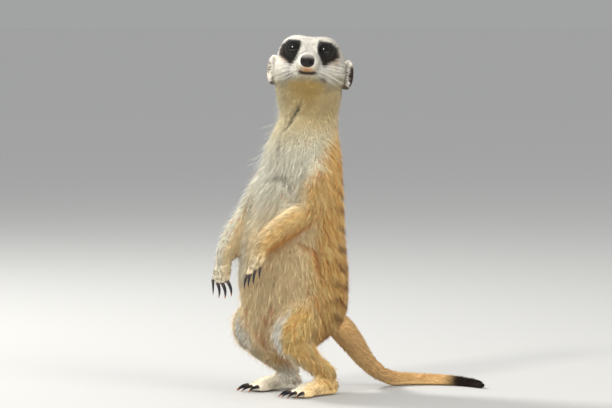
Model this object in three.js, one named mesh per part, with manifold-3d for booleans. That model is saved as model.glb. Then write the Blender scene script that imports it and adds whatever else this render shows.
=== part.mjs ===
// A meerkat standing upright on its hind legs, head turned to its left, as a still life-size model.
// Millimetres, +Z up. The animal faces -Y, its left is +X and the floor is Z = 0.
// Every solid gives the outline at the tips of the coat.
import * as THREE from 'three'
import { mergeVertices } from 'three/addons/utils/BufferGeometryUtils.js'
import Module from 'manifold-3d'

const wasm = await Module()
wasm.setup()

// ---- driving dimensions -------------------------------------------------------------------

const GAP = 0.3 // left between touching solids

const PELVIS_TURN = -10 // degrees, to its right, seen from above
const CHEST_TURN = 6
const NECK_TURN = 24

const HEAD_CENTRE = at(8, 1.6, 280)
const HEAD_YAW = 42 // degrees to its left
const HEAD_PITCH = 11 // nose up
const HEAD_ROLL = 4 // left ear down
const HEAD_AROUND = 26
const HEAD_ALONG = 20
const HEAD_BLEND = 8 // how softly the forms of the head run together

const EYE_RADIUS = 6.2
const EYE_PLACE = [13.1, 21, 8.1] // side, forward, up from the head's centre
const NOSE_PLACE = [0, 41.4, -5.3]
const NOSE_SIZE = [5.9, 4.6, 5.0]
const EAR_PLACE = [31.4, -7.5, -6]
const EAR_SIZE = [6, 7.6, 13]
const EAR_BOWL = [5, 5.4, 9.4]

const CUT_PELVIS = 84 // heights of the thin cuts across the trunk
const CUT_CHEST = 150
const CUT_NECK = 219

const TOES = 4
const PAST_JOINT = 0.75 // how far a limb's round end reaches past its joint, as a share of its width
const CLAW_THICK = 1.75

// ---- helpers: places, lofted bodies, blended forms ----------------------------------------

// A place from its distances to the animal's left, forward and up.
function at(side, forward, up) {
  return new THREE.Vector3(side, -forward, up)
}

function radians(degrees) {
  return THREE.MathUtils.degToRad(degrees)
}

function clearAttributes(geometry) {
  geometry.deleteAttribute('normal')
  geometry.deleteAttribute('uv')
  return mergeVertices(geometry, 1e-4)
}

// Height of a quarter circle, as a share, at a share of the way in from its end.
function roundEnd(share) {
  return Math.sqrt(Math.max(0, 1 - (1 - share) ** 2))
}

// A closed body along a smooth line through its stations. Each station has a place, half its width,
// half its depth and the turn of its section; the rings of a sphere become the sections, and
// both ends are round.
function loft(stations, { around, along, grow = 0, across = at(1, 0, 0) }) {
  const line = new THREE.CatmullRomCurve3(stations.map(s => s.place), false, 'centripetal')
  const sections = stations.map(s => new THREE.Vector3(s.wide, s.deep, s.turn ?? 0))
  const sizes = new THREE.CatmullRomCurve3(sections, false, 'catmullrom', 0.5)
  const length = line.getLength()
  const first = stations[0]
  const last = stations[stations.length - 1]
  const startCap = Math.min(first.cap ?? Math.max(first.wide, first.deep), length / 2)
  const endCap = Math.min(last.cap ?? Math.max(last.wide, last.deep), length / 2)
  const sphere = new THREE.SphereGeometry(1, around, along)
  const position = sphere.attributes.position
  const uv = sphere.attributes.uv
  const point = new THREE.Vector3()
  for (let i = 0; i < position.count; i++) {
    const ring = (1 - Math.cos(Math.PI * (1 - uv.getY(i)))) / 2
    const t = line.getUtoTmapping(ring)
    const fromStart = Math.min(ring * length / startCap, 1)
    const fromEnd = Math.min((1 - ring) * length / endCap, 1)
    const round = roundEnd(fromStart) * roundEnd(fromEnd)
    const size = sizes.getPoint(t)
    const tangent = line.getTangent(t)
    const side = across.clone().applyAxisAngle(new THREE.Vector3(0, 0, 1), radians(size.z))
    side.addScaledVector(tangent, -side.dot(tangent)).normalize()
    const depth = new THREE.Vector3().crossVectors(tangent, side)
    point.fromBufferAttribute(position, i)
    const ringRadius = Math.hypot(point.x, point.z) || 1
    const place = line.getPoint(t)
    place.addScaledVector(tangent, grow * (2 * ring - 1))
    place.addScaledVector(side, point.x / ringRadius * round * (size.x + grow))
    place.addScaledVector(depth, point.z / ringRadius * round * (size.y + grow))
    if (round === 0) place.copy(line.getPoint(ring)).addScaledVector(tangent, grow * (2 * ring - 1))
    position.setXYZ(i, place.x, place.y, place.z)
  }
  return clearAttributes(sphere)
}

// Signed distance, nearly, to an ellipsoid.
function ellipsoidDistance(point, form) {
  const p = point.clone().sub(form.centre)
  const scaled = p.clone().divide(form.radii).length()
  const slope = p.divide(form.radii).divide(form.radii).length()
  return slope === 0 ? -Math.min(...form.radii.toArray()) : scaled * (scaled - 1) / slope
}

// Signed distance to forms that run into each other over the length blend.
function blendedDistance(point, forms, blend) {
  const distances = forms.map(form => ellipsoidDistance(point, form))
  return distances.reduce((nearest, distance) => {
    const mix = Math.max(blend - Math.abs(nearest - distance), 0) / blend
    return Math.min(nearest, distance) - mix * mix * blend / 4
  })
}

// A sphere drawn in until each of its points lies on the blended forms.
function wrap(forms, { centre, around, along, blend, grow = 0 }) {
  const farthest = 90
  const stride = 1.5
  const halvings = 14
  const sphere = new THREE.SphereGeometry(1, around, along)
  const position = sphere.attributes.position
  const ray = new THREE.Vector3()
  const point = new THREE.Vector3()
  for (let i = 0; i < position.count; i++) {
    ray.fromBufferAttribute(position, i).normalize()
    let outside = farthest
    let inside = farthest
    while (inside > 0) {
      inside = outside - stride
      point.copy(centre).addScaledVector(ray, inside)
      if (blendedDistance(point, forms, blend) < 0) break
      outside = inside
    }
    for (let step = 0; step < halvings; step++) {
      const middle = (outside + inside) / 2
      point.copy(centre).addScaledVector(ray, middle)
      if (blendedDistance(point, forms, blend) < 0) inside = middle
      else outside = middle
    }
    point.copy(centre).addScaledVector(ray, inside + grow)
    position.setXYZ(i, point.x, point.y, point.z)
  }
  return clearAttributes(sphere)
}

function ellipsoid(centre, radii, { around = 10, along = 8, grow = 0 } = {}) {
  const sphere = new THREE.SphereGeometry(1, around, along)
  sphere.scale(radii[0] + grow, radii[1] + grow, radii[2] + grow)
  sphere.translate(centre.x, centre.y, centre.z)
  return clearAttributes(sphere)
}

// ---- helpers: joining and cutting ---------------------------------------------------------

function solid(geometry) {
  return new wasm.Manifold(new wasm.Mesh({
    numProp: 3,
    vertProperties: new Float32Array(geometry.attributes.position.array),
    triVerts: new Uint32Array(geometry.index.array),
  }))
}

function geometryOf(manifold) {
  const mesh = manifold.getMesh()
  const geometry = new THREE.BufferGeometry()
  geometry.setAttribute('position', new THREE.BufferAttribute(new Float32Array(mesh.vertProperties), 3))
  geometry.setIndex(new THREE.BufferAttribute(new Uint32Array(mesh.triVerts), 1))
  return geometry
}

// Everything on the side of a plane that its normal points to.
function halfSpace(point, normal) {
  const size = 900
  const box = new THREE.BoxGeometry(size, size, size)
  box.translate(0, 0, size / 2)
  const up = new THREE.Vector3(0, 0, 1)
  box.applyQuaternion(new THREE.Quaternion().setFromUnitVectors(up, normal.clone().normalize()))
  box.translate(point.x, point.y, point.z)
  return solid(clearAttributes(box))
}

// The stretch of a solid between two planes, each given by a place and a direction along the solid.
function between(whole, start, end) {
  let piece = whole
  if (start) {
    const inner = start.point.clone().addScaledVector(start.direction, GAP / 2)
    piece = piece.intersect(halfSpace(inner, start.direction))
  }
  if (end) {
    const inner = end.point.clone().addScaledVector(end.direction, -GAP / 2)
    piece = piece.intersect(halfSpace(inner, end.direction.clone().negate()))
  }
  return piece
}

// A cut can leave crumbs beside the piece that is wanted.
function largestBody(cut) {
  const bodies = cut.decompose()
  return bodies.reduce((best, body) => (body.volume() > best.volume() ? body : best))
}

function join(solids) {
  return solids.reduce((whole, piece) => whole.add(piece))
}

// The plane through a joint, halfway between the directions of the lengths that meet there.
function jointPlane(before, joint, after) {
  const inward = joint.clone().sub(before).normalize()
  const outward = after.clone().sub(joint).normalize()
  return { point: joint, direction: inward.add(outward).normalize() }
}

function level(height) {
  return { point: at(0, 0, height), direction: new THREE.Vector3(0, 0, 1) }
}

// ---- materials ----------------------------------------------------------------------------

function look(name, color, roughness) {
  return new THREE.MeshStandardMaterial({ name, color, roughness, metalness: 0 })
}

function coat(name, color) {
  return look(name, color, 0.85)
}

const LOOKS = {
  face: () => coat('face_fur', '#d9cdb8'),
  pale: () => coat('pale_fur', '#cfc3ae'),
  tawny: () => coat('tawny_fur', '#b98d5c'),
  ear: () => coat('ear_fur', '#4a3a30'),
  tailTip: () => coat('tail_tip_fur', '#2c211b'),
  nose: () => look('nose', '#2a2422', 0.45),
  eye: () => look('eye', '#1a0f0a', 0.08),
  claw: () => look('claw', '#25211f', 0.35),
}

const figure = new THREE.Group()

// Adds a solid that lies in its parent's frame, with its own pivot.
function addMesh(parent, name, manifold, material, pivot = new THREE.Vector3()) {
  const geometry = geometryOf(largestBody(manifold))
  geometry.translate(-pivot.x, -pivot.y, -pivot.z)
  const mesh = new THREE.Mesh(geometry, material)
  mesh.name = name
  mesh.position.copy(pivot)
  parent.add(mesh)
  return mesh
}

// ---- head ---------------------------------------------------------------------------------

function headForm(side, forward, up, wide, long, high) {
  return { centre: at(side, forward, up), radii: new THREE.Vector3(wide, long, high) }
}

const HEAD_FORMS = [
  headForm(0, -4, 1, 29.6, 28, 23), // skull
  headForm(11.5, 12, 11.8, 11.5, 10, 10.5), // brows
  headForm(-11.5, 12, 11.8, 11.5, 10, 10.5),
  headForm(0, 22, -3, 10.5, 18, 8.5), // bridge and muzzle
  headForm(0, 34.5, -7, 8.2, 8.6, 6.4), // lips
  headForm(0, 21, -12.5, 9.5, 16, 5.2), // lower jaw
  headForm(0, 9, -21, 17, 17, 13), // throat
  headForm(17, 1, -10, 13.5, 18, 14), // cheeks
  headForm(-17, 1, -10, 13.5, 18, 14),
]

function headSolid(grow = 0) {
  const centre = at(0, 4, -3)
  const shape = { centre, around: HEAD_AROUND, along: HEAD_ALONG, blend: HEAD_BLEND, grow }
  return solid(wrap(HEAD_FORMS, shape))
}

function earSolid(side) {
  const place = at(side * EAR_PLACE[0], EAR_PLACE[1], EAR_PLACE[2])
  const shell = solid(ellipsoid(place, EAR_SIZE))
  const bowlPlace = place.clone().add(at(side * 2.9, 4.6, 0.4))
  return shell.subtract(solid(ellipsoid(bowlPlace, EAR_BOWL)))
}

function makeHead(parent) {
  const head = new THREE.Group()
  head.position.copy(HEAD_CENTRE)
  head.rotation.set(radians(-HEAD_PITCH), radians(HEAD_ROLL), radians(HEAD_YAW), 'ZXY')
  parent.add(head)

  const noseCentre = at(...NOSE_PLACE)
  let skull = headSolid()
  skull = skull.subtract(solid(ellipsoid(noseCentre, NOSE_SIZE, { grow: GAP })))
  addMesh(head, 'nose', solid(ellipsoid(noseCentre, NOSE_SIZE)), LOOKS.nose())
  for (const [name, side] of [['left', 1], ['right', -1]]) {
    const eyeCentre = at(side * EYE_PLACE[0], EYE_PLACE[1], EYE_PLACE[2])
    const ball = [EYE_RADIUS, EYE_RADIUS, EYE_RADIUS]
    skull = skull.subtract(solid(ellipsoid(eyeCentre, ball, { grow: GAP })))
    addMesh(head, `eye_${name}`, solid(ellipsoid(eyeCentre, ball)), LOOKS.eye())
    addMesh(head, `ear_${name}`, earSolid(side).subtract(headSolid(GAP)), LOOKS.ear())
  }
  addMesh(head, 'head', skull, LOOKS.face())
  return head
}

// ---- trunk and neck -----------------------------------------------------------------------

function section(up, forward, wide, deep, turn, side = 0) {
  return { place: at(side, forward, up), wide, deep, turn }
}

const TORSO = [
  { ...section(35, 3, 28, 30, PELVIS_TURN), cap: 18 }, // rump
  section(55, 9, 38, 45, PELVIS_TURN),
  section(79, 12, 41.5, 50.5, PELVIS_TURN),
  section(112, 13.3, 41.5, 52.5, PELVIS_TURN / 2), // belly
  section(140, 9.5, 40, 46.5, 0),
  section(170, 6, 38, 41, CHEST_TURN),
  section(190, 4, 37, 38.5, CHEST_TURN), // chest
  section(206, 1.5, 35, 35, CHEST_TURN),
  section(219, -1.5, 30.5, 31, CHEST_TURN),
  section(233, -5, 26, 26.5, NECK_TURN), // neck
  section(247, -4.5, 28.5, 28.5, NECK_TURN, 0.5),
  section(257, -3.5, 30, 28.5, NECK_TURN, 0.5),
  { ...section(272, -2, 25, 23, NECK_TURN, 4), cap: 12 },
]

function torsoSolid(grow = 0) {
  return solid(loft(TORSO, { around: 22, along: 19, grow }))
}

// ---- limbs --------------------------------------------------------------------------------

function station(place, wide, deep = wide, cap = undefined) {
  return { place, wide, deep, cap }
}

function turned(place, degrees) {
  return place.clone().applyAxisAngle(new THREE.Vector3(0, 0, 1), radians(degrees))
}

// Joints of each arm and the way its hand hangs.
const ARMS = {
  left: {
    shoulder: at(28, 10, 194), elbow: at(34, 27, 156), wrist: at(20, 72, 129),
    reach: at(-3, 5.5, -22), across: at(0.64, -0.21, 0.55), curl: at(-0.3, -0.6, -0.1), spacing: 5,
  },
  right: {
    shoulder: at(-24.5, 7, 192), elbow: at(-33, 33, 152), wrist: at(-26, 70, 118),
    reach: at(0.5, 5, -22), across: at(-0.8, 0.35, 0.05), curl: at(0.1, -0.8, -0.1), spacing: 3.9,
  },
}
const UPPER_ARM = { top: [13.5, 18], middle: [13, 17.5], elbow: [12.5, 14.5] }
const FOREARM = { elbow: [11.5, 13.5], middle: [12, 13.4], wrist: [8.8, 9], rise: 2.5 }
const PALM = { wrist: [8.8, 8.2], knuckles: [9.6, 6.4], length: 15.5 }
const FINGER = { length: 8.8, thick: 3.3, fan: 0.09 }
const HAND_CLAW = { length: 11.5, drop: 3.6 }

const LEGS = {
  left: { side: 1, out: 7 },
  right: { side: -1, out: 7 },
}
const HIP = [20, -2, 90]
const KNEE = [29, 42, 50]
const ANKLE = [27, -9, 17]
const THIGH = { hip: [23, 28], middle: [19, 25], knee: [15, 16.5] }
const SHANK = { knee: [13.4, 14], middle: [12, 13.5], ankle: [8, 9] }
const FOOT = { heel: [7, 8], middle: [8.8, 7.6], ball: [10.5, 6.2], back: 10, front: 34, height: 5.4 }
const TOE = { length: 12, thick: 4.4, spacing: 5.2, fan: 0.12, flat: 0.7 }
const FOOT_CLAW = { length: 9, drop: 3 }

// A length of limb from joint to joint, whose round ends reach past both joints.
function limbPart(start, end, sizes, bend) {
  const direction = end.clone().sub(start).normalize()
  const middle = start.clone().lerp(end, 0.5).add(bend)
  const startSize = sizes[0]
  const endSize = sizes[2]
  const stations = [
    station(start.clone().addScaledVector(direction, -startSize[0] * PAST_JOINT), ...startSize),
    station(middle, ...sizes[1]),
    station(end.clone().addScaledVector(direction, endSize[0] * PAST_JOINT), ...endSize),
  ]
  return solid(loft(stations, { along: 8, around: 12 }))
}

// The claws of one hand or foot, and its digits. The knuckles lie on a line across, a spacing apart.
function makeDigits(knuckles, reach, across, curl, digit, claw) {
  const facets = { along: 5, around: 7, across }
  const digits = []
  const sockets = []
  const claws = []
  for (let i = 0; i < TOES; i++) {
    const offset = i - (TOES - 1) / 2
    const direction = reach.clone().addScaledVector(across, digit.fan * offset).normalize()
    const middleLead = digit.length * (1 - 0.12 * offset * offset)
    const root = knuckles.clone().addScaledVector(across, offset * digit.spacing)
    const tip = root.clone().addScaledVector(direction, middleLead)
    const inner = root.clone().addScaledVector(direction, -digit.length * 0.7)
    const digitLine = [station(inner, digit.thick), station(tip, digit.thick * 0.9)]
    digits.push(solid(loft(digitLine, facets)))
    sockets.push(solid(loft(digitLine, { ...facets, grow: GAP })))
    const reachOf = (share, drop) => tip.clone()
      .addScaledVector(direction, claw.length * share)
      .addScaledVector(curl, claw.drop * drop)
    const clawLine = [
      station(reachOf(-0.25, -0.12), CLAW_THICK * 0.9, CLAW_THICK * 1.1),
      station(reachOf(0.3, 0), CLAW_THICK * 0.85, CLAW_THICK),
      station(reachOf(0.7, 0.35), CLAW_THICK * 0.6, CLAW_THICK * 0.75),
      station(reachOf(1, 1), 0.4, 0.45),
    ]
    claws.push(solid(loft(clawLine, { along: 5, around: 5, across })))
  }
  const clearance = join(sockets)
  return { digits, claws: claws.map(claw => claw.subtract(clearance)) }
}

// ---- tail ---------------------------------------------------------------------------------

const TAIL = [
  station(at(5, -26, 64), 14, 15),
  station(at(8, -47, 43), 12.5, 13),
  station(at(10, -66, 22), 9.8, 9.5),
  station(at(13, -86, 8.6), 8.2, 7.8),
  station(at(24, -110, 6), 6.7, 6.8),
  station(at(44, -127, 5.3), 6.0, 6.2),
  station(at(68, -133, 4.6), 5.3, 5.4),
  station(at(90, -129, 3.6), 4.1, 4.4),
]
const TAIL_CUTS = [0.36, 0.72] // shares of the tail's length

function makeTail(parent, torso) {
  const line = new THREE.CatmullRomCurve3(TAIL.map(s => s.place), false, 'centripetal')
  const floor = halfSpace(at(0, 0, 0), new THREE.Vector3(0, 0, 1))
  const full = solid(loft(TAIL, { around: 12, along: 20, across: at(0, 0, 1) }))
  const whole = full.subtract(torso).intersect(floor)
  const cuts = TAIL_CUTS.map(share => (
    { point: line.getPointAt(share), direction: line.getTangentAt(share) }
  ))
  addMesh(parent, 'tail_base', between(whole, null, cuts[0]), LOOKS.tawny(), TAIL[0].place)
  addMesh(parent, 'tail_middle', between(whole, cuts[0], cuts[1]), LOOKS.tawny(), cuts[0].point)
  addMesh(parent, 'tail_tip', between(whole, cuts[1], null), LOOKS.tailTip(), cuts[1].point)
}

// ---- building -----------------------------------------------------------------------------

// Claws stand a gap clear of the digits that they grow from.
function addClaws(parent, limbName, claws, limb) {
  claws.forEach((claw, i) => {
    const clear = claw.subtract(limb)
    addMesh(parent, `${limbName}_claw_${i + 1}`, clear, LOOKS.claw())
  })
}

function makeArm(parent, name, arm, trunk) {
  const reach = arm.reach.clone().normalize()
  const across = arm.across.clone().normalize()
  const curl = arm.curl.clone().normalize()
  const knuckles = arm.wrist.clone().addScaledVector(reach, PALM.length)
  const palmLine = [
    station(arm.wrist.clone().addScaledVector(reach, -PALM.wrist[0]), ...PALM.wrist),
    station(knuckles.clone().addScaledVector(reach, PALM.knuckles[1]), ...PALM.knuckles),
  ]
  const finger = { ...FINGER, spacing: arm.spacing }
  const { digits, claws } = makeDigits(knuckles, reach, across, curl, finger, HAND_CLAW)
  const upperSizes = [UPPER_ARM.top, UPPER_ARM.middle, UPPER_ARM.elbow]
  const upper = limbPart(arm.shoulder, arm.elbow, upperSizes, at(0, 0, 0))
  const lowerSizes = [FOREARM.elbow, FOREARM.middle, FOREARM.wrist]
  const lower = limbPart(arm.elbow, arm.wrist, lowerSizes, at(0, 0, FOREARM.rise))
  const palm = solid(loft(palmLine, { along: 5, around: 9, across }))
  const whole = join([upper, lower, palm, ...digits]).subtract(trunk)
  const elbow = jointPlane(arm.shoulder, arm.elbow, arm.wrist)
  const wrist = jointPlane(arm.elbow, arm.wrist, knuckles)
  addMesh(parent, `upper_arm_${name}`, between(whole, null, elbow), LOOKS.tawny(), arm.shoulder)
  addMesh(parent, `forearm_${name}`, between(whole, elbow, wrist), LOOKS.tawny(), arm.elbow)
  addMesh(parent, `hand_${name}`, between(whole, wrist, null), LOOKS.pale(), arm.wrist)
  addClaws(parent, `hand_${name}`, claws, whole)
}

function makeLeg(parent, name, leg, trunk) {
  const place = ([side, forward, up]) => turned(at(leg.side * side, forward, up), PELVIS_TURN)
  const hip = place(HIP)
  const knee = place(KNEE)
  const ankle = place(ANKLE)
  const forward = turned(at(0, 1, 0), PELVIS_TURN + leg.side * leg.out)
  const across = turned(at(1, 0, 0), PELVIS_TURN + leg.side * leg.out)
  const down = new THREE.Vector3(0, 0, -1)
  const soleAt = (distance, rise) => (
    ankle.clone().addScaledVector(forward, distance).setZ(FOOT.height + rise)
  )
  const sole = [
    station(soleAt(-FOOT.back, 1.6), ...FOOT.heel),
    station(soleAt(FOOT.front * 0.4, 2), ...FOOT.middle),
    station(soleAt(FOOT.front + FOOT.ball[1], 0), ...FOOT.ball),
  ]
  const toes = soleAt(FOOT.front, TOE.thick - FOOT.height - TOE.flat)
  const { digits, claws } = makeDigits(toes, forward, across, down, TOE, FOOT_CLAW)
  const outward = at(leg.side * 3, 0, 1)
  const forwardBow = at(0, 2, 1)
  const thigh = limbPart(hip, knee, [THIGH.hip, THIGH.middle, THIGH.knee], outward)
  const shank = limbPart(knee, ankle, [SHANK.knee, SHANK.middle, SHANK.ankle], forwardBow)
  const foot = solid(loft(sole, { along: 6, around: 9, across }))
  const floor = halfSpace(at(0, 0, 0), new THREE.Vector3(0, 0, 1))
  const whole = join([thigh, shank, foot, ...digits]).subtract(trunk).intersect(floor)
  const kneeCut = jointPlane(hip, knee, ankle)
  const ankleCut = jointPlane(knee, ankle, ankle.clone().add(forward))
  addMesh(parent, `thigh_${name}`, between(whole, null, kneeCut), LOOKS.tawny(), hip)
  addMesh(parent, `shank_${name}`, between(whole, kneeCut, ankleCut), LOOKS.tawny(), knee)
  addMesh(parent, `foot_${name}`, between(whole, ankleCut, null), LOOKS.pale(), ankle)
  addClaws(parent, `foot_${name}`, claws, whole)
}

const torso = torsoSolid()
const torsoClear = torsoSolid(GAP)
const head = makeHead(figure)
figure.updateMatrixWorld(true)
const headClear = headSolid(GAP).transform(head.matrixWorld.elements)
addMesh(figure, 'pelvis', between(torso, null, level(CUT_PELVIS)), LOOKS.tawny())
addMesh(figure, 'belly', between(torso, level(CUT_PELVIS), level(CUT_CHEST)), LOOKS.pale())
addMesh(figure, 'chest', between(torso, level(CUT_CHEST), level(CUT_NECK)), LOOKS.pale())
addMesh(figure, 'neck', between(torso, level(CUT_NECK), null).subtract(headClear), LOOKS.pale())
for (const [name, arm] of Object.entries(ARMS)) makeArm(figure, name, arm, torsoClear)
for (const [name, leg] of Object.entries(LEGS)) makeLeg(figure, name, leg, torsoClear)
makeTail(figure, torsoClear)

// The origin is on the floor, under the middle of the whole animal.
const extent = new THREE.Box3().setFromObject(figure, true)
const middle = extent.getCenter(new THREE.Vector3())
figure.position.set(-middle.x, -middle.y, 0)

export default figure
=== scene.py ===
"""A life-size meerkat: one skin under a coat of solid locks, with its eyes, nose, claws and whiskers."""
import math

import bpy
import numpy as np
import openvdb as vdb
from mathutils import Matrix, Vector
from mathutils.kdtree import KDTree


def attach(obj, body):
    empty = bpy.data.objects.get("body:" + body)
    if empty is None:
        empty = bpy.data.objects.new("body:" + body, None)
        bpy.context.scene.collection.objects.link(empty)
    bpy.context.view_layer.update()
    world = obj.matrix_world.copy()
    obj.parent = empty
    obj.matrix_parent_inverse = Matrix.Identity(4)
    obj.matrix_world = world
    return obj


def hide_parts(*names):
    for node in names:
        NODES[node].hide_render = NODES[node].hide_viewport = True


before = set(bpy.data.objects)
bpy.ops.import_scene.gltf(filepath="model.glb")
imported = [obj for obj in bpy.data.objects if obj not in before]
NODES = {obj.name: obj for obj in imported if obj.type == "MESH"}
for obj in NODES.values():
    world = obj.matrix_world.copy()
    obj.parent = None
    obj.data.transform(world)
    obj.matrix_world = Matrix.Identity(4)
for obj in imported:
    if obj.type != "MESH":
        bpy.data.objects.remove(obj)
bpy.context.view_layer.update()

MM = 0.001  # lengths below are millimetres, and meshes are metres

# ---- driving dimensions ----

HEAD_YAW, HEAD_PITCH, HEAD_ROLL = 42, 11, 4  # degrees, as in the frame
EYES_IN_HEAD = (0, 21, 8.1)  # midpoint between the eyes: side, forward, up from the head's centre
HEAD_IN_BODY = (8, -1.6, 280)  # the head's centre from the middle of the stance, x, y, z
PELVIS_TURN, CHEST_TURN, NECK_TURN = -10, 6, 24  # degrees that each part of the trunk faces left

OUTLINE_STEP = 1.2  # grid of the outline field
GRID_MARGIN = 10  # cells of it round the animal, and round a place that is smoothed
BRIDGE = 0.5  # closes the gaps between the frame's solids
CHIN_MEETS_THROAT = (0, 14, -25)  # side, forward, up from the head's centre
NAPE_MEETS_SKULL = (0, -15, -24)
NECK_MEETS_CHEST = (4, -4, 232)  # x, y, z from the middle of the stance
HEAD_REACH = 60  # from the head's centre to past the nose and the ears
SKIN_STEP = 1.45  # grid of the skin's mesh
SNOUT_COAT, LID_COAT, SOLE_COAT = 0.7, 0.6, 0.3  # how deep the coat is there

SIDES = {"left": 1, "right": -1}


# ---- numbers and vectors ----

def norm(vectors):
    return np.linalg.norm(vectors, axis=-1)


def unit(vectors):
    length = np.linalg.norm(vectors, axis=-1, keepdims=True)
    return vectors / np.maximum(length, 1e-9)


def dot(a, b):
    return (a * b).sum(-1)


def ramp(value, low, high):
    """0 below low, 1 above high, and a smooth step between; low may be above high."""
    t = np.clip((value - low) / (high - low), 0, 1)
    return t * t * (3 - 2 * t)


def mix(a, b, share):
    return a + (b - a) * share


def paint(base, shade, share):
    """Mixes a shade into a colour by each point's share."""
    return mix(base, shade, share[:, None])


def bump(distance, width):
    """1 at no distance, fading to 0 past the width."""
    return np.exp(-(distance / width) ** 2)


def smooth_min(a, b, blend):
    share = np.clip(0.5 + 0.5 * (b - a) / blend, 0, 1)
    return b + (a - b) * share - blend * share * (1 - share)


def smooth_max(a, b, blend):
    return -smooth_min(-a, -b, blend)


def ellipsoid(away, size):
    """Rough distance to an ellipsoid of those half sizes, from places counted from its middle."""
    return (norm(away / np.array(size)) - 1) * np.min(size)


def mirrored(place, sign):
    """A place given for the left, on the side of that sign."""
    return np.array(place) * [sign, 1, 1]


def segment(points, start, end):
    """Distance from each point to a segment, and how far along it the nearest place is."""
    axis = end - start
    along = np.clip((points - start) @ axis / (axis @ axis), 0, 1)
    return norm(points - start - along[:, None] * axis), along


def polyline(points, route):
    """Distance from each point to a line through the places of a route."""
    route = np.asarray(route, float)
    return np.min([segment(points, a, b)[0] for a, b in zip(route, route[1:])], axis=0)


class Field:
    """Values on a regular grid, read between its places."""

    def __init__(self, values, low, step):
        self.values, self.low, self.step = values, np.asarray(low, float), step
        self.last = np.array(values.shape) - 2

    def at(self, points):
        place = (points - self.low) / self.step
        cell = np.clip(np.floor(place).astype(int), 0, self.last)
        part = np.clip(place - cell, 0, 1)
        i, j, k = cell.T
        x, y, z = part.T
        v = self.values
        lower, upper = (mix(mix(v[i, j, h], v[i + 1, j, h], x), mix(v[i, j + 1, h], v[i + 1, j + 1, h], x), y)
                        for h in (k, k + 1))
        return mix(lower, upper, z)


def slope(function, points, step=0.6):
    """Unit gradient of a function of points, by central differences."""
    parts = [function(points + axis) - function(points - axis) for axis in np.eye(3) * step]
    return unit(np.stack(parts, axis=-1))


# ---- the frame's solids ----

CLAWS = sorted(name for name in NODES if "claw" in name)
EYES_AND_NOSE = ["eye_left", "eye_right", "nose"]
FLESH = sorted(set(NODES) - set(CLAWS + EYES_AND_NOSE))


def corners(name):
    """A node's vertices in millimetres."""
    mesh = NODES[name].data
    places = np.empty(len(mesh.vertices) * 3, np.float32)
    mesh.vertices.foreach_get("co", places)
    return places.reshape(-1, 3) / MM


def facets(name):
    """A node's triangles."""
    mesh = NODES[name].data
    mesh.calc_loop_triangles()
    indices = np.empty(len(mesh.loop_triangles) * 3, np.int32)
    mesh.loop_triangles.foreach_get("vertices", indices)
    return indices.reshape(-1, 3)


POINTS = {name: corners(name) for name in NODES}
LIMB_ENDS = ["hand_left", "hand_right", "foot_left", "foot_right"]


def claws_of(limb):
    return [name for name in CLAWS if name.startswith(limb)]


def middle(*names):
    """Centre of the box round some nodes."""
    places = np.concatenate([POINTS[name] for name in names])
    return (places.min(0) + places.max(0)) / 2


def seam(name, other, reach=1.0):
    """Middle of the face where one node meets another."""
    tree = KDTree(len(POINTS[other]))
    for index, place in enumerate(POINTS[other]):
        tree.insert(place, index)
    tree.balance()
    near = [place for place in POINTS[name] if tree.find(place)[2] < reach]
    return np.mean(near, axis=0)


def slices(name, start, count):
    """Middles of a long node's slices from the end nearest to start, and its far end."""
    places = POINTS[name]
    far = places[np.argmax(norm(places - start))]
    near = places[np.argmin(norm(places - start))]
    along = (places - near) @ (far - near) / ((far - near) @ (far - near))
    order = np.clip((along * count).astype(int), 0, count - 1)
    middles = np.array([places[order == part].mean(0) for part in range(count) if (order == part).any()])
    return middles, far


def turning(yaw, pitch, roll):
    """A turn to the left, then up, then over to the side, in degrees."""
    about_z, about_x, about_y = (Matrix.Rotation(math.radians(angle), 3, axis)
                                 for angle, axis in ((yaw, "Z"), (-pitch, "X"), (roll, "Y")))
    return np.array(about_z @ about_x @ about_y)


def at(side, forward, up):
    """A step to the left, forward and up, in the frame's axes."""
    return np.array([side, -forward, up], float)


HEAD_TURN = turning(HEAD_YAW, HEAD_PITCH, HEAD_ROLL)
HEAD = (middle("eye_left") + middle("eye_right")) / 2 - HEAD_TURN @ at(*EYES_IN_HEAD)
STANCE = HEAD - np.array(HEAD_IN_BODY)  # middle of the stance on the floor


def in_head(points):
    """Side, forward and up in the head's own frame."""
    return (points - HEAD) @ HEAD_TURN * np.array([1, -1, 1])


def from_head(places):
    """The frame's places of some given by side, forward and up in the head."""
    return np.asarray(places, float) * np.array([1, -1, 1]) @ HEAD_TURN.T + HEAD


# ---- the camera ----

CAMERA_FAR = 2890  # from the body's middle
CAMERA_AZIMUTH, CAMERA_ELEVATION = 45, 3  # degrees
PHOTO_SCALE = 0.85  # millimetres to a pixel at the body
FRAME_MIDDLE = (306, 204)  # pixels
BODY_AXIS, FLOOR_LINE = 305, 393  # pixels, where the stance's middle and the floor come


def direction(azimuth, elevation):
    """Unit vector at that azimuth, from the front round to the left, and elevation, in degrees."""
    a, e = math.radians(azimuth), math.radians(elevation)
    return np.array([math.sin(a) * math.cos(e), -math.cos(a) * math.cos(e), math.sin(e)])


RIGHT = direction(CAMERA_AZIMUTH + 90, 0)  # to the picture's right
BACK = direction(CAMERA_AZIMUTH, CAMERA_ELEVATION)  # from the animal to the camera
AIM = STANCE + RIGHT * (FRAME_MIDDLE[0] - BODY_AXIS) * PHOTO_SCALE
AIM[2] += (FLOOR_LINE - FRAME_MIDDLE[1]) * PHOTO_SCALE / math.cos(math.radians(CAMERA_ELEVATION))
EYEPOINT = AIM + BACK * CAMERA_FAR


# ---- the outline and the body's regions ----

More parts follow.
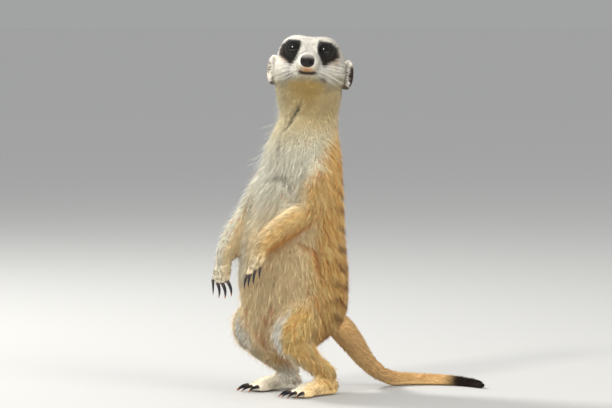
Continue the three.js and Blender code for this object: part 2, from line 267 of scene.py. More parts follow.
# where the outline is smoothed: the middle, the reach with full and with no effect, how often, the swell
SOFT_BENDS = [(from_head(CHIN_MEETS_THROAT), 12, 26, 20, 0.4), (from_head(NAPE_MEETS_SKULL), 15, 29, 30, 0.6),
              (STANCE + NECK_MEETS_CHEST, 27, 44, 46, 0.8)]


def outline_field():
    """Distance to the coat's outline: below zero inside the animal."""
    names = FLESH + EYES_AND_NOSE
    starts = np.cumsum([0] + [len(POINTS[name]) for name in names])
    points = np.concatenate([POINTS[name] for name in names]).astype(np.float32)
    triangles = np.concatenate([facets(name) + start for name, start in zip(names, starts)])
    transform = vdb.createLinearTransform(OUTLINE_STEP)
    solids = vdb.FloatGrid.createLevelSetFromPolygons(
        points, triangles=triangles.astype(np.uint32), transform=transform, halfWidth=3.0)
    shell, quads = solids.convertToQuads(BRIDGE)
    whole = vdb.FloatGrid.createLevelSetFromPolygons(
        shell, quads=quads, transform=transform, exBandWidth=12.0, inBandWidth=16.0)
    low = np.floor(points.min(0) / OUTLINE_STEP).astype(int) - GRID_MARGIN
    size = np.ceil(points.max(0) / OUTLINE_STEP).astype(int) + GRID_MARGIN - low
    values = np.zeros(size, np.float32)
    whole.copyToArray(values, ijk=tuple(int(x) for x in low))
    values += BRIDGE
    sharp = values
    values = smoothed(values, 2)
    spots = (np.stack(np.meshgrid(*[np.arange(n) for n in size], indexing="ij"), -1) + low) * OUTLINE_STEP
    # the neck runs into the head and the chest without an edge, and the fingers and toes stay whole
    for centre, inner, outer, rounds, swell in SOFT_BENDS:
        first = np.maximum(((centre - outer) / OUTLINE_STEP - low - GRID_MARGIN).astype(int), 0)
        last = ((centre + outer) / OUTLINE_STEP - low + GRID_MARGIN).astype(int)
        block = tuple(slice(a, b) for a, b in zip(first, last))
        share = 1 - ramp(norm(spots[block] - centre), inner, outer)
        values[block] = mix(values[block], smoothed(values[block], rounds) - swell, share)
    for limb in LIMB_ENDS:
        away = norm(spots - middle(limb, *claws_of(limb)))
        values = mix(values, sharp, 1 - ramp(away, 15, 20))
    return Field(values.astype(np.float32), low * OUTLINE_STEP, OUTLINE_STEP)


def smoothed(values, rounds):
    """A grid's values, each averaged with its neighbours that many times."""
    for _ in range(rounds):
        for axis in range(3):
            values = (np.roll(values, 1, axis) + 2 * values + np.roll(values, -1, axis)) / 4
    return values


OUTLINE = outline_field()


class Bone:
    """A stretch of the body: where it runs, how thick it is, and its coat's depth, length and lie."""

    def __init__(self, region, start, end, thick, depth, length, flow=None):
        self.region, self.start, self.end = region, np.asarray(start, float), np.asarray(end, float)
        self.thick, self.depth, self.length = thick, depth, length
        self.flow = unit(self.end - self.start) if flow is None else flow


def build_bones():
    waist, ribs = seam("belly", "pelvis"), seam("chest", "belly")
    collar, nape = seam("neck", "chest"), from_head([0, -4, -16])
    rump = middle("pelvis") + at(0, 2, -12)
    bones = [  # region, start, end, thick, depth, length
        Bone("neck", nape, collar, 25, 2.8, 5),
        Bone("chest", collar, ribs, 36, 5.5, 9.5),
        Bone("belly", ribs, waist, 41, 5.5, 9.5),
        Bone("pelvis", waist, rump, 38, 5.5, 10),
        Bone("head", from_head([0, -2, 2]), from_head([0, 8, -2]), 27, 2.2, 5.5),
        Bone("head", from_head([0, 8, -2]), from_head([0, 32, -4]), 13, 1.5, 3),
    ]
    for side, sign in SIDES.items():
        def part(name):
            return f"{name}_{side}"

        shoulder, elbow = seam(part("upper_arm"), "chest"), seam(part("forearm"), part("upper_arm"))
        wrist = seam(part("hand"), part("forearm"))
        fingers = np.mean([middle(part("hand") + f"_claw_{n}") for n in (2, 3)], axis=0)
        hip, knee = seam(part("thigh"), "pelvis"), seam(part("shank"), part("thigh"))
        ankle = seam(part("foot"), part("shank"))
        toes = np.mean([middle(part("foot") + f"_claw_{n}") for n in (2, 3)], axis=0)
        knuckles, toe_roots = mix(wrist, fingers, 0.5), mix(ankle, toes, 0.6)
        bones += [
            Bone(part("upper_arm"), shoulder, elbow, 11, 4.4, 9),
            Bone(part("forearm"), elbow, wrist, 10, 3.2, 7.5),
            Bone(part("hand"), wrist, knuckles, 7.5, 1.2, 5.2),
            Bone(part("hand"), knuckles, fingers, 4, 0.35, 5),
            Bone(part("thigh"), hip, knee, 15, 4.5, 8.5),
            Bone(part("shank"), knee, ankle, 11, 3.0, 6.5),
            Bone(part("foot"), ankle, toe_roots, 8, 1.5, 3.5),
            Bone(part("foot"), toe_roots, toes, 6, 0.4, 3.6),
        ]
        ear, half = middle(part("ear")), HEAD_TURN @ at(0, 0, 7)
        outward = HEAD_TURN @ at(sign * 0.7, -0.6, 0.5)
        bones.append(Bone(part("ear"), ear - half, ear + half, 5, 0.5, 3, outward))
    route = [middle("pelvis") + at(0, -14, 0)]
    for name in ("tail_base", "tail_middle", "tail_tip"):
        middles, end = slices(name, route[-1], 5)
        route += list(middles)
    route.append(end)
    thick = np.interp(np.linspace(0, 1, len(route)), [0, 0.15, 0.45, 1], [17, 12, 8, 4.5])
    for number, (start, end) in enumerate(zip(route[:-1], route[1:])):
        bones.append(Bone("tail", start, end, thick[number], mix(3.0, 2.0, number / len(route)), 5.5))
    return bones, np.array(route)


BONES, TAIL_ROUTE = build_bones()
REGIONS = sorted({bone.region for bone in BONES})
TRUNK, ARM, LEG = ["chest", "belly", "pelvis"], ["upper_arm", "forearm"], ["thigh", "shank"]
SOFTNESS = 2.6  # how far one region runs into the next


def shares(points):
    """How much each bone rules each point."""
    gaps = np.stack([segment(points, bone.start, bone.end)[0] - bone.thick for bone in BONES], axis=1)
    weights = np.exp(-(gaps - gaps.min(1, keepdims=True)) / SOFTNESS)
    return weights / weights.sum(1, keepdims=True)


def region_shares(weights):
    """The shares summed for each region."""
    return {region: sum(weights[:, i] for i, bone in enumerate(BONES) if bone.region == region)
            for region in REGIONS}


def ruled(weights, values):
    """One value for each point, from one for each bone."""
    return weights @ np.array(values, float)


NOSE_TIP = from_head([0, 46, -4])
IS_HEAD = np.array([bone.region == "head" for bone in BONES], float)


def flow(points):
    """The lie of the coat: back from the nose, down the trunk and out along each limb."""
    weights = shares(points)
    lie = weights @ (np.array([bone.flow for bone in BONES]) * (1 - IS_HEAD)[:, None])
    head = (weights @ IS_HEAD)[:, None]
    return unit(lie + head * unit(points - NOSE_TIP))


# ---- the face ----

# places below are side, forward, up from the head's centre, and sizes are half sizes
EYE_RADIUS = 6.0
EYE_PLACE = (13.1, 20.5, 8.1)
GAZE = {"left": (-3, 4), "right": (12, 4)}  # degrees outward and up: it looks a little to its right
LID = 0.7  # thickness of the lids over the ball
OPENING = (4.3, 4.0, 3.7)  # half width of the eye's opening, and its height above and below
OPENING_TILT = 10  # degrees, inner corner low
# the dark patch's edge round each eye: outward and up from the front of the ball
PATCH_EDGE = [(-5.1, 6.2), (-5.9, 2.4), (-3.9, -4.6), (-0.8, -13.6), (2.0, -10.2), (9.6, -3.9),
              (7.9, 2.9), (4.0, 6.2), (-1.4, 6.4)]
MOUTH = [(0, -14.6), (3.6, -14.3), (7.2, -13.1), (9.2, -12.8), (13, -13.6)]  # to the side, and up
MOUTH_CORNERS = [(-14.6, -13.6), (12.4, -15.6)]  # dark marks at its ends
NOSE_PLACE, NOSE_SIZE = (0, 41.4, -4.9), (6.1, 4.7, 5.6)
EAR_PLACE, EAR_SIZE = (31.4, -7.5, -6), (5.4, 7.2, 12.6)
MUZZLE_PAD, PAD_SIZE = (4.6, 38.5, -10.6), (4.4, 4.5, 3.4)
PHILTRUM = [(0, 44, -9), (0, 42, -12.5), (0, 40, -14.6)]
# place, size and swell of the fur on the cheeks and temples
TUFTED = [((-25, 4, -19), 10, 2.2), ((25, 4, -20), 10, 1.2), ((-23, 8, 9), 9, 2.2), ((23, 8, 9), 9, 2.2),
          ((-18, 6, 18), 8, 1.4), ((18, 6, 18), 8, 1.4)]
# where the coat parts or folds: each route from the middle of the stance, its width and its depth
FOLDS = [
    ([(14.6, -20.5, 248.9), (5.6, -21.1, 237.0), (0.5, -28.1, 224.1)], 1.8, 1.2),
    ([(-4.4, -30.2, 221.8), (3.9, -38.4, 203.7)], 2.2, 1.1),
    ([(-3.8, -43.7, 185.1), (4.9, -42.9, 187.9), (12.4, -40.9, 188.5), (19.4, -40.7, 176.5)], 2.2, 1.4),
    ([(33.1, -39.0, 133.4), (39.3, -23.9, 124.6), (41.4, -16.5, 96.6)], 2.6, 1.6),
]
FOLD_POINT, FOLD_TAPER = 0.55, 10  # the width of a fold's ends over its own, and how far it narrows
BELLY_MARKS = [(13.3, 77.2), (7.0, 69.4), (13.5, 67.9), (-13.1, 77.5), (-17.2, 67.8)]  # to the left, and up
BELLY_SHADE_SPOT = (-3.9, 52.5)  # a larger, fainter patch of painted shade between the knees


class Eye:
    """An eye in the head's frame: its middle, its gaze and the level of its opening."""

    def __init__(self, side):
        self.sign = SIDES[side]
        out, up = (math.radians(angle) for angle in GAZE[side])
        self.centre = mirrored(EYE_PLACE, self.sign)
        self.gaze = np.array([self.sign * math.sin(out), math.cos(out) * math.cos(up), math.sin(up)])
        level = unit(np.cross(self.gaze, [0, 0, 1]))  # towards the animal's left or right
        level = level * self.sign * np.sign(level[0])  # outward
        upright = unit(np.cross(level, self.gaze))
        upright = upright * np.sign(upright[2])
        tilt = math.radians(OPENING_TILT)
        self.wide = level * math.cos(tilt) + upright * math.sin(tilt)
        self.high = upright * math.cos(tilt) - level * math.sin(tilt)

    def around(self, places):
        """Outward, up and gaze coordinates from the ball's centre."""
        away = places - self.centre
        return away @ self.wide, away @ self.high, away @ self.gaze

    def opening(self, places):
        """Below zero inside the almond opening, about millimetres from its edge."""
        wide, high, _ = self.around(places)
        tall = np.where(high > 0, OPENING[1], OPENING[2])
        reach = (np.abs(wide / OPENING[0]) ** 1.8 + np.abs(high / tall) ** 2.0) ** 0.5
        return (reach - 1) * OPENING[2]


EYES = {side: Eye(side) for side in SIDES}


def from_eyes(places):
    """Distance to the middle of the nearer eye."""
    return np.min([norm(places - eye.centre) for eye in EYES.values()], axis=0)


def from_mouth(places):
    """Distance to the line of the mouth, seen from the front."""
    flat = np.stack([np.abs(places[:, 0]), places[:, 2]], 1)
    return polyline(flat, MOUTH) + 20 * (1 - ramp(places[:, 1], 12, 18))


def sculpt_face(points, base):
    """Adds the face's folds, lids and mouth to the plain distance base."""
    places = in_head(points)
    shape = base.copy()
    for eye in EYES.values():
        wide, high, deep = eye.around(places)
        away = norm(places - eye.centre) - EYE_RADIUS
        # a shallow socket, the lids over the ball, and a fold above and below them
        shape += 0.35 * bump(away - 2.8, 1.8) * ramp(deep, 0, 4)
        shape = smooth_min(shape, away - LID, 2.4)
        fold = np.hypot(wide / 1.15, high + 0.3)
        shape += 0.22 * bump(fold - 6.4, 0.6) * ramp(np.abs(high), 1, 3) * ramp(deep, 1, 4)
        cut = np.where(deep > 0, np.maximum(eye.opening(places), -0.7 - away), 9)
        shape = np.maximum(shape, -cut)
    shape += 1.0 * bump(from_mouth(places), 0.8)
    shape += 0.5 * bump(polyline(places, PHILTRUM), 0.7)
    for centre, size, swell in TUFTED:
        shape -= swell * bump(norm(places - centre), size)
    for sign in SIDES.values():
        shape -= 0.7 * bump(norm((places - mirrored(MUZZLE_PAD, sign)) / PAD_SIZE), 1.0)
    return shape


def near_folds(points, reach=1.0):
    """How near each point is to each fold, from 0 to 1, at any depth under the outline."""
    places = points - STANCE
    nearness = np.zeros((len(FOLDS), len(points)))
    for number, (route, width, _) in enumerate(FOLDS):
        route = np.array(route)
        outward = slope(OUTLINE.at, route.mean(0, keepdims=True) + STANCE)[0]
        near = ((places > route.min(0) - 9) & (places < route.max(0) + 9)).all(1)
        if near.any():
            flat = places[near] - (places[near] @ outward)[:, None] * outward
            flat_route = route - (route @ outward)[:, None] * outward
            from_ends = np.minimum(*(norm(flat - end) for end in flat_route[[0, -1]]))
            taper = FOLD_POINT + (1 - FOLD_POINT) * ramp(from_ends, 0, FOLD_TAPER)
            nearness[number, near] = bump(polyline(flat, flat_route), width * reach * taper)
    return nearness


def ear_shape(places, sign):
    """A thin cupped ear that hugs the side of the head."""
    away = places - mirrored(EAR_PLACE, sign)
    shell = ellipsoid(away, EAR_SIZE)
    bowl = ellipsoid(away - mirrored((3.1, 4.4, 0.6), sign), (5.0, 5.6, 9.6))
    ridge = ellipsoid(away - mirrored((0.5, 2.2, -3), sign), (3, 2.2, 2.2))
    return smooth_min(smooth_max(shell, -bowl, 0.8), ridge, 1.0)


def skin_distance(points, depth):
    """Distance to the skin, which lies inside the outline by depth."""
    base = OUTLINE.at(points) + depth + np.array([fold[2] for fold in FOLDS]) @ near_folds(points)
    loose = ramp(depth, 2.5, 5.5)
    base += loose * (0.45 * MIDDLE_NOISE.at(points) + 0.5 * COARSE_NOISE.at(points))
    places = in_head(points)
    near = (norm(places) < HEAD_REACH) & (places[:, 2] > -34)
    if near.any():
        face = sculpt_face(points[near], base[near])
        for sign in SIDES.values():
            face = smooth_min(face, ear_shape(places[near], sign), 1.0)
        base[near] = face
    return base


def coat_depth(points, weights):
    """How deep the coat is over the skin at each point."""
    depth = ruled(weights, [bone.depth for bone in BONES])
    places = in_head(points)
    snout = ramp(places[:, 1], 22, 40) * (weights @ IS_HEAD)
    depth = mix(depth, SNOUT_COAT, snout)
    depth = mix(depth, LID_COAT, 1 - ramp(from_eyes(places), EYE_RADIUS + 1, EYE_RADIUS + 5))
    under = 1 - ramp(points[:, 2], 0.5, 4)
    return mix(depth, np.minimum(depth, SOLE_COAT), under)


# ---- meshes ----

def make_mesh(name, points, triangles, colours=None, patches=None):
    """An object from points in millimetres and triangles, with its colours and OFBake places."""
    mesh = bpy.data.meshes.new(name)
    mesh.vertices.add(len(points))
    mesh.vertices.foreach_set("co", np.asarray(points * MM, np.float32).ravel())
    mesh.loops.add(len(triangles) * 3)
    mesh.loops.foreach_set("vertex_index", np.asarray(triangles, np.int32).ravel())
    mesh.polygons.add(len(triangles))
    mesh.polygons.foreach_set("loop_start", np.arange(len(triangles), dtype=np.int32) * 3)
    mesh.polygons.foreach_set("use_smooth", np.full(len(triangles), True))
    mesh.update(calc_edges=True)
    if colours is not None:
        tint = np.ones((len(points), 4), np.float32)
        tint[:, :3] = colours
        mesh.color_attributes.new("tint", "FLOAT_COLOR", "POINT").data.foreach_set("color", tint.ravel())
    if patches is not None:
        flat = np.asarray(patches[np.asarray(triangles).ravel()], np.float32)
        mesh.uv_layers.new(name="OFBake").data.foreach_set("uv", flat.ravel())
    mesh.validate()
    obj = bpy.data.objects.new(name, mesh)
    bpy.context.scene.collection.objects.link(obj)
    return obj


def refine(points, triangles, wanted):
    """Splits each edge whose middle is wanted, and the triangles beside it."""
    pairs = np.sort(triangles[:, [0, 1, 1, 2, 2, 0]].reshape(-1, 2), axis=1)
    edges, which = np.unique(pairs, axis=0, return_inverse=True)
    which = which.reshape(-1, 3)
    middles = points[edges].mean(axis=1)
    split = wanted(middles)
    numbers = np.full(len(edges), -1)
    numbers[split] = len(points) + np.arange(split.sum())
    new = numbers[which]
    kept = [triangles[(new < 0).all(1)]]
    for turn in range(3):
        a, b, c = np.roll(triangles, -turn, axis=1).T
        ab, bc, ca = np.roll(new, -turn, axis=1).T
        one, two = (ab >= 0) & (bc < 0) & (ca < 0), (ab >= 0) & (bc >= 0) & (ca < 0)
        cases = [(one, [a, ab, c]), (one, [ab, b, c])]
        cases += [(two, [ab, b, bc]), (two, [a, ab, bc]), (two, [a, bc, c])]
        if turn == 0:
            full = (new >= 0).all(1)
            cases += [(full, parts) for parts in ([a, ab, ca], [ab, b, bc], [ca, bc, c], [ab, bc, ca])]
        kept += [np.stack(parts, 1)[case] for case, parts in cases]
    return np.concatenate([points, middles[split]]), np.concatenate(kept)


def vertex_normals(points, triangles):
    """Unit normals at the points, from the triangles round each."""
    a, b, c = (points[triangles[:, i]] for i in range(3))
    faces = np.cross(b - a, c - a)
    normals = np.zeros_like(points)
    for i in range(3):
        np.add.at(normals, triangles[:, i], faces)
    return unit(normals)


def relax(points, triangles, chosen, strength):
    """Moves the chosen points towards the middle of their neighbours."""
    total = np.zeros_like(points)
    count = np.zeros(len(points))
    for i, j in ((0, 1), (1, 2), (2, 0), (1, 0), (2, 1), (0, 2)):
        np.add.at(total, triangles[:, i], points[triangles[:, j]])
        np.add.at(count, triangles[:, i], 1)
    middles = total / np.maximum(count, 1)[:, None]
    moved = points.copy()
    moved[chosen] = mix(points[chosen], middles[chosen], strength)
    return moved


def settle(points, depth, steps=4):
    """Draws points onto the skin."""
    for _ in range(steps):
        height = skin_distance(points, depth)
        way = slope(lambda p: skin_distance(p, depth), points, 0.35)
        points = points - np.clip(height, -2.5, 2.5)[:, None] * way
    return points


def face_part(middles):
    """Which places are on the face or the ears."""
    places = in_head(middles)
    ahead = (places[:, 1] > 8) | (np.abs(places[:, 0]) > 23)
    return ahead & (norm(places) < HEAD_REACH) & (places[:, 2] > -26)


def fine_part(middles):
    """Which places are at the eyes, the mouth or the throat's parting."""
    places = in_head(middles)
    mouth = (places[:, 1] > 27) & (places[:, 2] < -6) & (places[:, 2] > -22)
    return (from_eyes(places) < EYE_RADIUS + 3.5) | mouth | (near_folds(middles)[0] > 0.15)


def skin_mesh():
    """The skin's points, triangles and coat depth, finest round the eyes and mouth."""
    grid = vdb.FloatGrid()
    grid.transform = vdb.createLinearTransform(OUTLINE_STEP)
    low = np.round(OUTLINE.low / OUTLINE_STEP).astype(int)
    grid.copyFromArray(np.ascontiguousarray(OUTLINE.values), ijk=tuple(int(x) for x in low))
    shell, quads = grid.convertToQuads(0.0)
    coarse = vdb.FloatGrid.createLevelSetFromPolygons(
        shell, quads=quads, transform=vdb.createLinearTransform(SKIN_STEP), halfWidth=3.0)
    points, quads = coarse.convertToQuads(0.0)
    points = points.astype(float)
    triangles = np.concatenate([quads[:, [0, 1, 2]], quads[:, [0, 2, 3]]]).astype(int)
    for part in (face_part, fine_part):
        points, triangles = refine(points, triangles, part)
    depth = coat_depth(points, shares(points))
    points = settle(points, depth)
    near_eye = from_eyes(in_head(points)) < EYE_RADIUS + 4
    points = relax(points, triangles, ~near_eye, 0.4)
    for _ in range(2):
        points = relax(points, triangles, near_eye, 0.3)
        points[near_eye] = settle(points[near_eye], depth[near_eye], 2)
    points[:, 2] = np.maximum(points[:, 2], 0.15)
    outward = slope(OUTLINE.at, points)
    if dot(vertex_normals(points, triangles), outward).mean() < 0:
        triangles = triangles[:, ::-1]
    return points, triangles, depth


# ---- colours ----
# ramps below run over millimetres above the floor or from the head's centre, or degrees from the front

def colour(*parts):
    """Linear light from sRGB parts of 255."""
    share = np.array(parts, float) / 255
    return np.where(share > 0.04045, ((share + 0.055) / 1.055) ** 2.4, share / 12.92)


CREAM = colour(218, 214, 204)
WHITE = colour(246, 243, 236)
CHEST_PALE = colour(242, 237, 218)
BELLY_PALE = colour(245, 219, 174)
# the throat's and chin's own tan, darkened as painted shade under the chin
THROAT_TAN_AND_SHADE = colour(214, 184, 118)
THROAT_SIDE = colour(236, 225, 190)
# painted shade for the lower face and jaw, which face down away from the light
CHEEK_PAINTED_SHADE = colour(178, 173, 152)
TAWNY = colour(242, 196, 114)
TAWNY_LIGHT = colour(250, 220, 158)
RUST = colour(196, 112, 44)
BACK_BROWN = colour(214, 170, 112)
BAND = colour(84, 56, 40)
PATCH = colour(9, 6, 5)
PATCH_EDGE_BROWN = colour(54, 38, 34)
LID_DARK = colour(3, 2, 2)
EAR_DARK = colour(40, 26, 21)
EAR_RIM = colour(240, 228, 208)
HEAD_BACK = colour(206, 182, 148)
TAIL = colour(226, 184, 126)
TAIL_TIP = colour(34, 24, 19)
LIP = colour(176, 124, 66)
MOUTH_DARK = colour(36, 24, 18)
# painted shade along the throat's parting, the chest's folds and the crease between arm and belly
FOLD_PAINTED_SHADES = [colour(42, 32, 24), colour(182, 175, 163), colour(166, 158, 147), colour(196, 140, 78)]
# painted shade for the arms' undersides
UNDERSIDE_SHADE_BROWN = colour(204, 128, 48)
PAW = colour(230, 214, 182)
BAND_SPACING, RIPPLE_SPACING = 15, 2.6  # from one to the next, down the back and down the neck, where the ripples are painted light and shade
TEMPLE = (21.5, 17, 3)  # a tan spot behind the eye: side, forward, up in the head


def noise_field(step, seed):
    """Random values from -1 to 1 that change over about step millimetres."""
    margin = 20
    low, high = OUTLINE.low - margin, OUTLINE.low + np.array(OUTLINE.values.shape) * OUTLINE.step + margin
    size = np.ceil((high - low) / step).astype(int) + 2
    values = np.random.default_rng(seed).uniform(-1, 1, size).astype(np.float32)
    return Field(values, low, step)


COARSE_NOISE, MIDDLE_NOISE, FINE_NOISE = noise_field(16, 1), noise_field(6, 2), noise_field(2.2, 3)


TURN_HEIGHTS = [30, 85, 140, 190, 215, 235]  # of the pelvis, the waist, the chest and the neck


def facing(points):
    """Degrees from the front of the trunk, which turns with height, plus to the left."""
    up = points[:, 2]
    spine = np.array([bone.start for bone in BONES[:4]] + [BONES[3].end])[::-1]
    middle_x, middle_y = (np.interp(up, spine[:, 2], spine[:, axis]) for axis in (0, 1))
    turn = np.interp(up, TURN_HEIGHTS, [PELVIS_TURN, PELVIS_TURN, 0, CHEST_TURN, CHEST_TURN, NECK_TURN])
    angle = np.degrees(np.arctan2(points[:, 0] - middle_x, middle_y - points[:, 1]))
    return (angle - turn + 180) % 360 - 180


def inside_outline(x, y, edge):
    """Distance to a closed outline in a plane, below zero inside."""
    points = np.stack([x, y], 1)
    edge = np.array(edge, float)
    gap = polyline(points, np.vstack([edge, edge[:1]]))
    inside = np.zeros(len(points), bool)
    for (x1, y1), (x2, y2) in zip(edge, np.roll(edge, -1, axis=0)):
        crosses = (y1 > y) != (y2 > y)
        inside ^= crosses & (x < (x2 - x1) * (y - y1) / (y2 - y1 + 1e-12) + x1)
    return np.where(inside, -gap, gap)


def eye_patch(places, wobble):
    """1 inside the dark patch round either eye, 0 outside it."""
    deep = np.zeros(len(places))
    for eye in EYES.values():
        away = places - eye.centre - eye.gaze * EYE_RADIUS
        gap = inside_outline(away[:, 0] * eye.sign, away[:, 2], PATCH_EDGE)
        deep = np.maximum(deep, (1 - ramp(gap + 0.9 * wobble, 0.1, 2.7)) * ramp(places[:, 1], 2, 9))
    return deep


def trunk_colour(points, noise, coarse, tawny):
    """Pale in front, tawny on the flanks, brown and banded behind."""
    up, angle = points[:, 2], facing(points)
    aside = np.abs(angle)
    edge = flank_edge(up) + 6 * noise + 5 * coarse + 20 * ramp(-angle, 5, 40) * ramp(up, 150, 185)
    trunk = paint(BELLY_PALE, CHEST_PALE, ramp(up, 120, 185))
    trunk = paint(trunk, tawny, ramp(aside, edge - 22, edge + 20))
    trunk = paint(trunk, BACK_BROWN, 0.55 * ramp(aside, 125, 160))
    wave = np.sin((up + 5 * coarse + 3 * noise - 0.10 * (180 - aside)) * 2 * math.pi / BAND_SPACING)
    band = ramp(wave, 0.1, 0.8) * ramp(aside, 100 + 10 * noise, 128) * ramp(up, 225, 195) * ramp(up, 40, 62)
    trunk = paint(trunk, BAND, band * 0.72)
    throat = ramp(up, 200, 238) * (1 - ramp(aside, 92, 132))
    # the throat's own tan, with more of the darker tan just under the chin as painted shade
    throat_tan_and_shade = 0.15 + 0.4 * ramp(angle, -35, 35) * ramp(up, 205, 245) + 0.1 * noise
    throat_tan_and_shade = np.clip(throat_tan_and_shade + 0.45 * ramp(up, 232, 258) * (1 - ramp(aside, 20, 62)), 0, 1)
    # painted light and shade of fine ripples in the fur down the throat
    painted_ripple_shade = 0.05 * np.sin(up * 2 * math.pi / RIPPLE_SPACING + 2 * coarse)[:, None]
    trunk = paint(trunk, paint(THROAT_SIDE, THROAT_TAN_AND_SHADE, throat_tan_and_shade) * (1 + painted_ripple_shade), throat)
    trunk = paint(trunk, HEAD_BACK, ramp(up, 186, 244) * ramp(aside, 98, 138) * 0.95)
    side, behind, high = (points - STANCE).T
    marks = np.max([bump(np.hypot(side - x, (high - z) / 1.7), 2.2) for x, z in BELLY_MARKS], axis=0)
    trunk = paint(trunk, RUST, 0.8 * marks * (behind < 0))
    # painted shade between the knees, in rust
    between_knees_shade = bump(np.hypot(side - BELLY_SHADE_SPOT[0], high - BELLY_SHADE_SPOT[1]), 8.5)
    return paint(trunk, RUST, 0.45 * between_knees_shade * (behind < 0))


def flank_edge(up):
    """Degrees from the front where the pale coat turns tawny, at each height."""
    return np.interp(up, [60, 110, 150, 190, 210, 232], [84, 76, 68, 60, 76, 112])


def head_colour(places, noise):
    """Cream with dark eye patches, a tan chin deepened by painted shade, painted shade on the lower face, and
    a brown crown and nape.
    """
    across, forward, up = places.T
    side = np.abs(across)
    behind = ramp(forward, 4, -14) * np.maximum(ramp(up, -14, 4), ramp(forward, -14, -24))
    head = paint(CREAM, HEAD_BACK, behind)
    head = paint(head, HEAD_BACK, 0.3 * ramp(up + 2 * noise, 15, 24))
    # painted shade over the lower face and jaw
    head = paint(head, CHEEK_PAINTED_SHADE, 0.85 * ramp(up + 1.5 * noise, 2, -20))
    # the chin's underside: its own tan, darkened as painted shade
    head = paint(head, THROAT_TAN_AND_SHADE, ramp(up + noise, -15, -21) * (1 - ramp(side + 3 * noise, 8, 22)))
    muzzle = bump(np.hypot(across / 1.6, (up + 12.6) / 0.6), 4.6) * ramp(forward, 28, 34)
    head = paint(head, LIP, 0.85 * muzzle) * (1 + 0.05 * noise[:, None])
    temples = np.max([bump(norm((places - mirrored(TEMPLE, sign)) / [1, 1, 1.4]), 4.5)
                      for sign in SIDES.values()], axis=0)
    head = paint(head, LIP, 0.55 * temples)
    bridge = ramp(forward, 32, 40) * ramp(up, -7, -2) * (1 - ramp(side, 3, 7))
    head = paint(head, BACK_BROWN, 0.35 * bridge)
    lips = (1 - 0.8 * ramp(side, 7, 9)) * (1 - ramp(from_mouth(places), 0.4, 1.3))
    head = paint(head, MOUTH_DARK, 0.95 * lips)
    mouth_ends = np.max([bump(np.hypot(across - x, up - z), 2.2) for x, z in MOUTH_CORNERS], axis=0)
    head = paint(head, MOUTH_DARK, 0.6 * mouth_ends * ramp(forward, 8, 14))
    patch = paint(PATCH, PATCH_EDGE_BROWN, ramp(from_eyes(places) + noise, 8, 15))
    head = paint(head, patch, 0.98 * eye_patch(places, noise))
    for eye in EYES.values():
        head = paint(head, LID_DARK, (1 - ramp(eye.opening(places), 0.3, 1.3)) * ramp(forward, 14, 20))
    return head


def limb_colours(points, normals, noise, tawny, side):
    """The colours of one side's arm, hand, leg and foot."""
    leftward, _, top = normals.T
    if side == "right":  # the far arm is painted pale outside as painted light, and golden on its inner side
        arm = paint(CHEST_PALE, tawny, 0.6 * ramp(leftward + 0.1 * noise, 0.2, 0.9))
    else:
        lit = ramp(outside(normals, side) + 0.12 * noise - 0.3 * top, -0.2, 0.5)
        arm = paint(mix(CHEST_PALE, TAWNY_LIGHT, 0.7), tawny, 0.8 * lit) * 0.88
    # painted shade on the arm's underside, where it faces down
    under = ramp(-top + 0.2 * noise, 0.1, 0.75) * ramp(points[:, 2], 112, 128)
    arm = paint(arm, UNDERSIDE_SHADE_BROWN, 0.75 * under)
    leg = paint(mix(CHEST_PALE, WHITE, 0.5), tawny, ramp(outside(normals, side) + 0.12 * noise, -0.2, 0.45))
    return arm, mix(PAW, arm, 0.4), leg, mix(PAW, leg, 0.5)


def outside(normals, side):
    """How far each place faces outward and a little back."""
    return normals[:, 0] * SIDES[side] * 0.9 + normals[:, 1] * 0.35


def tail_colour(along, normals, noise, fine):
    """Tan, brown on top, with a black tip."""
    tail = paint(TAIL, TAWNY_LIGHT, np.clip(0.15 * fine + 0.2, 0, 1))
    tail = paint(tail, BACK_BROWN, 0.35 * ramp(normals[:, 2], 0.1, 0.8))
    return paint(tail, TAIL_TIP, ramp(along + 0.02 * noise, 0.76, 0.84))


def markings(points, weights, normals):
    """The coat's colour at each point of the skin, and how many of its tufts are rust."""
    noise, coarse, fine = (field.at(points) for field in (MIDDLE_NOISE, COARSE_NOISE, FINE_NOISE))
    parts, up, along, places = region_shares(weights), points[:, 2], along_tail(points), in_head(points)
    tawny = paint(TAWNY, TAWNY_LIGHT, np.clip(0.5 + 0.45 * fine + 0.25 * noise, 0, 1))
    shades = dict.fromkeys(TRUNK + ["neck"], trunk_colour(points, noise, coarse, tawny))
    shades["head"] = head_colour(places, noise)
    shades["tail"] = tail_colour(along, normals, noise, fine)
    for side, sign in SIDES.items():
        arm, hand, leg, foot = limb_colours(points, normals, noise, tawny, side)
        ear = paint(EAR_DARK, EAR_RIM, 0.92 * ear_rim(places, sign, fine))
        for part, shade in zip(("upper_arm", "forearm", "hand", "thigh", "shank", "foot", "ear"),
                               (arm, arm, hand, leg, leg, foot, ear)):
            shades[f"{part}_{side}"] = shade
    result = sum(parts[region][:, None] * shade for region, shade in shades.items())
    # painted shade along each fold and parting of the coat
    for nearness, shade in zip(near_folds(points), FOLD_PAINTED_SHADES):
        result = paint(result, shade, 0.9 * ramp(nearness, 0.08, 0.6))
    flank = ramp(np.abs(facing(points)), flank_edge(up) - 14, flank_edge(up) + 16)
    limbs = sum(parts[f"{part}_{side}"] for part in ARM + LEG for side in SIDES)
    trunk = sum(parts[part] for part in TRUNK) + 0.4 * parts["neck"]
    trunk = trunk * (1 - 0.85 * ramp(up, 195, 238))
    rust = 0.02 * trunk + 0.30 * flank * trunk + 0.07 * limbs + 0.05 * parts["tail"] * (along < 0.7)
    return np.clip(result, 0, 1), rust


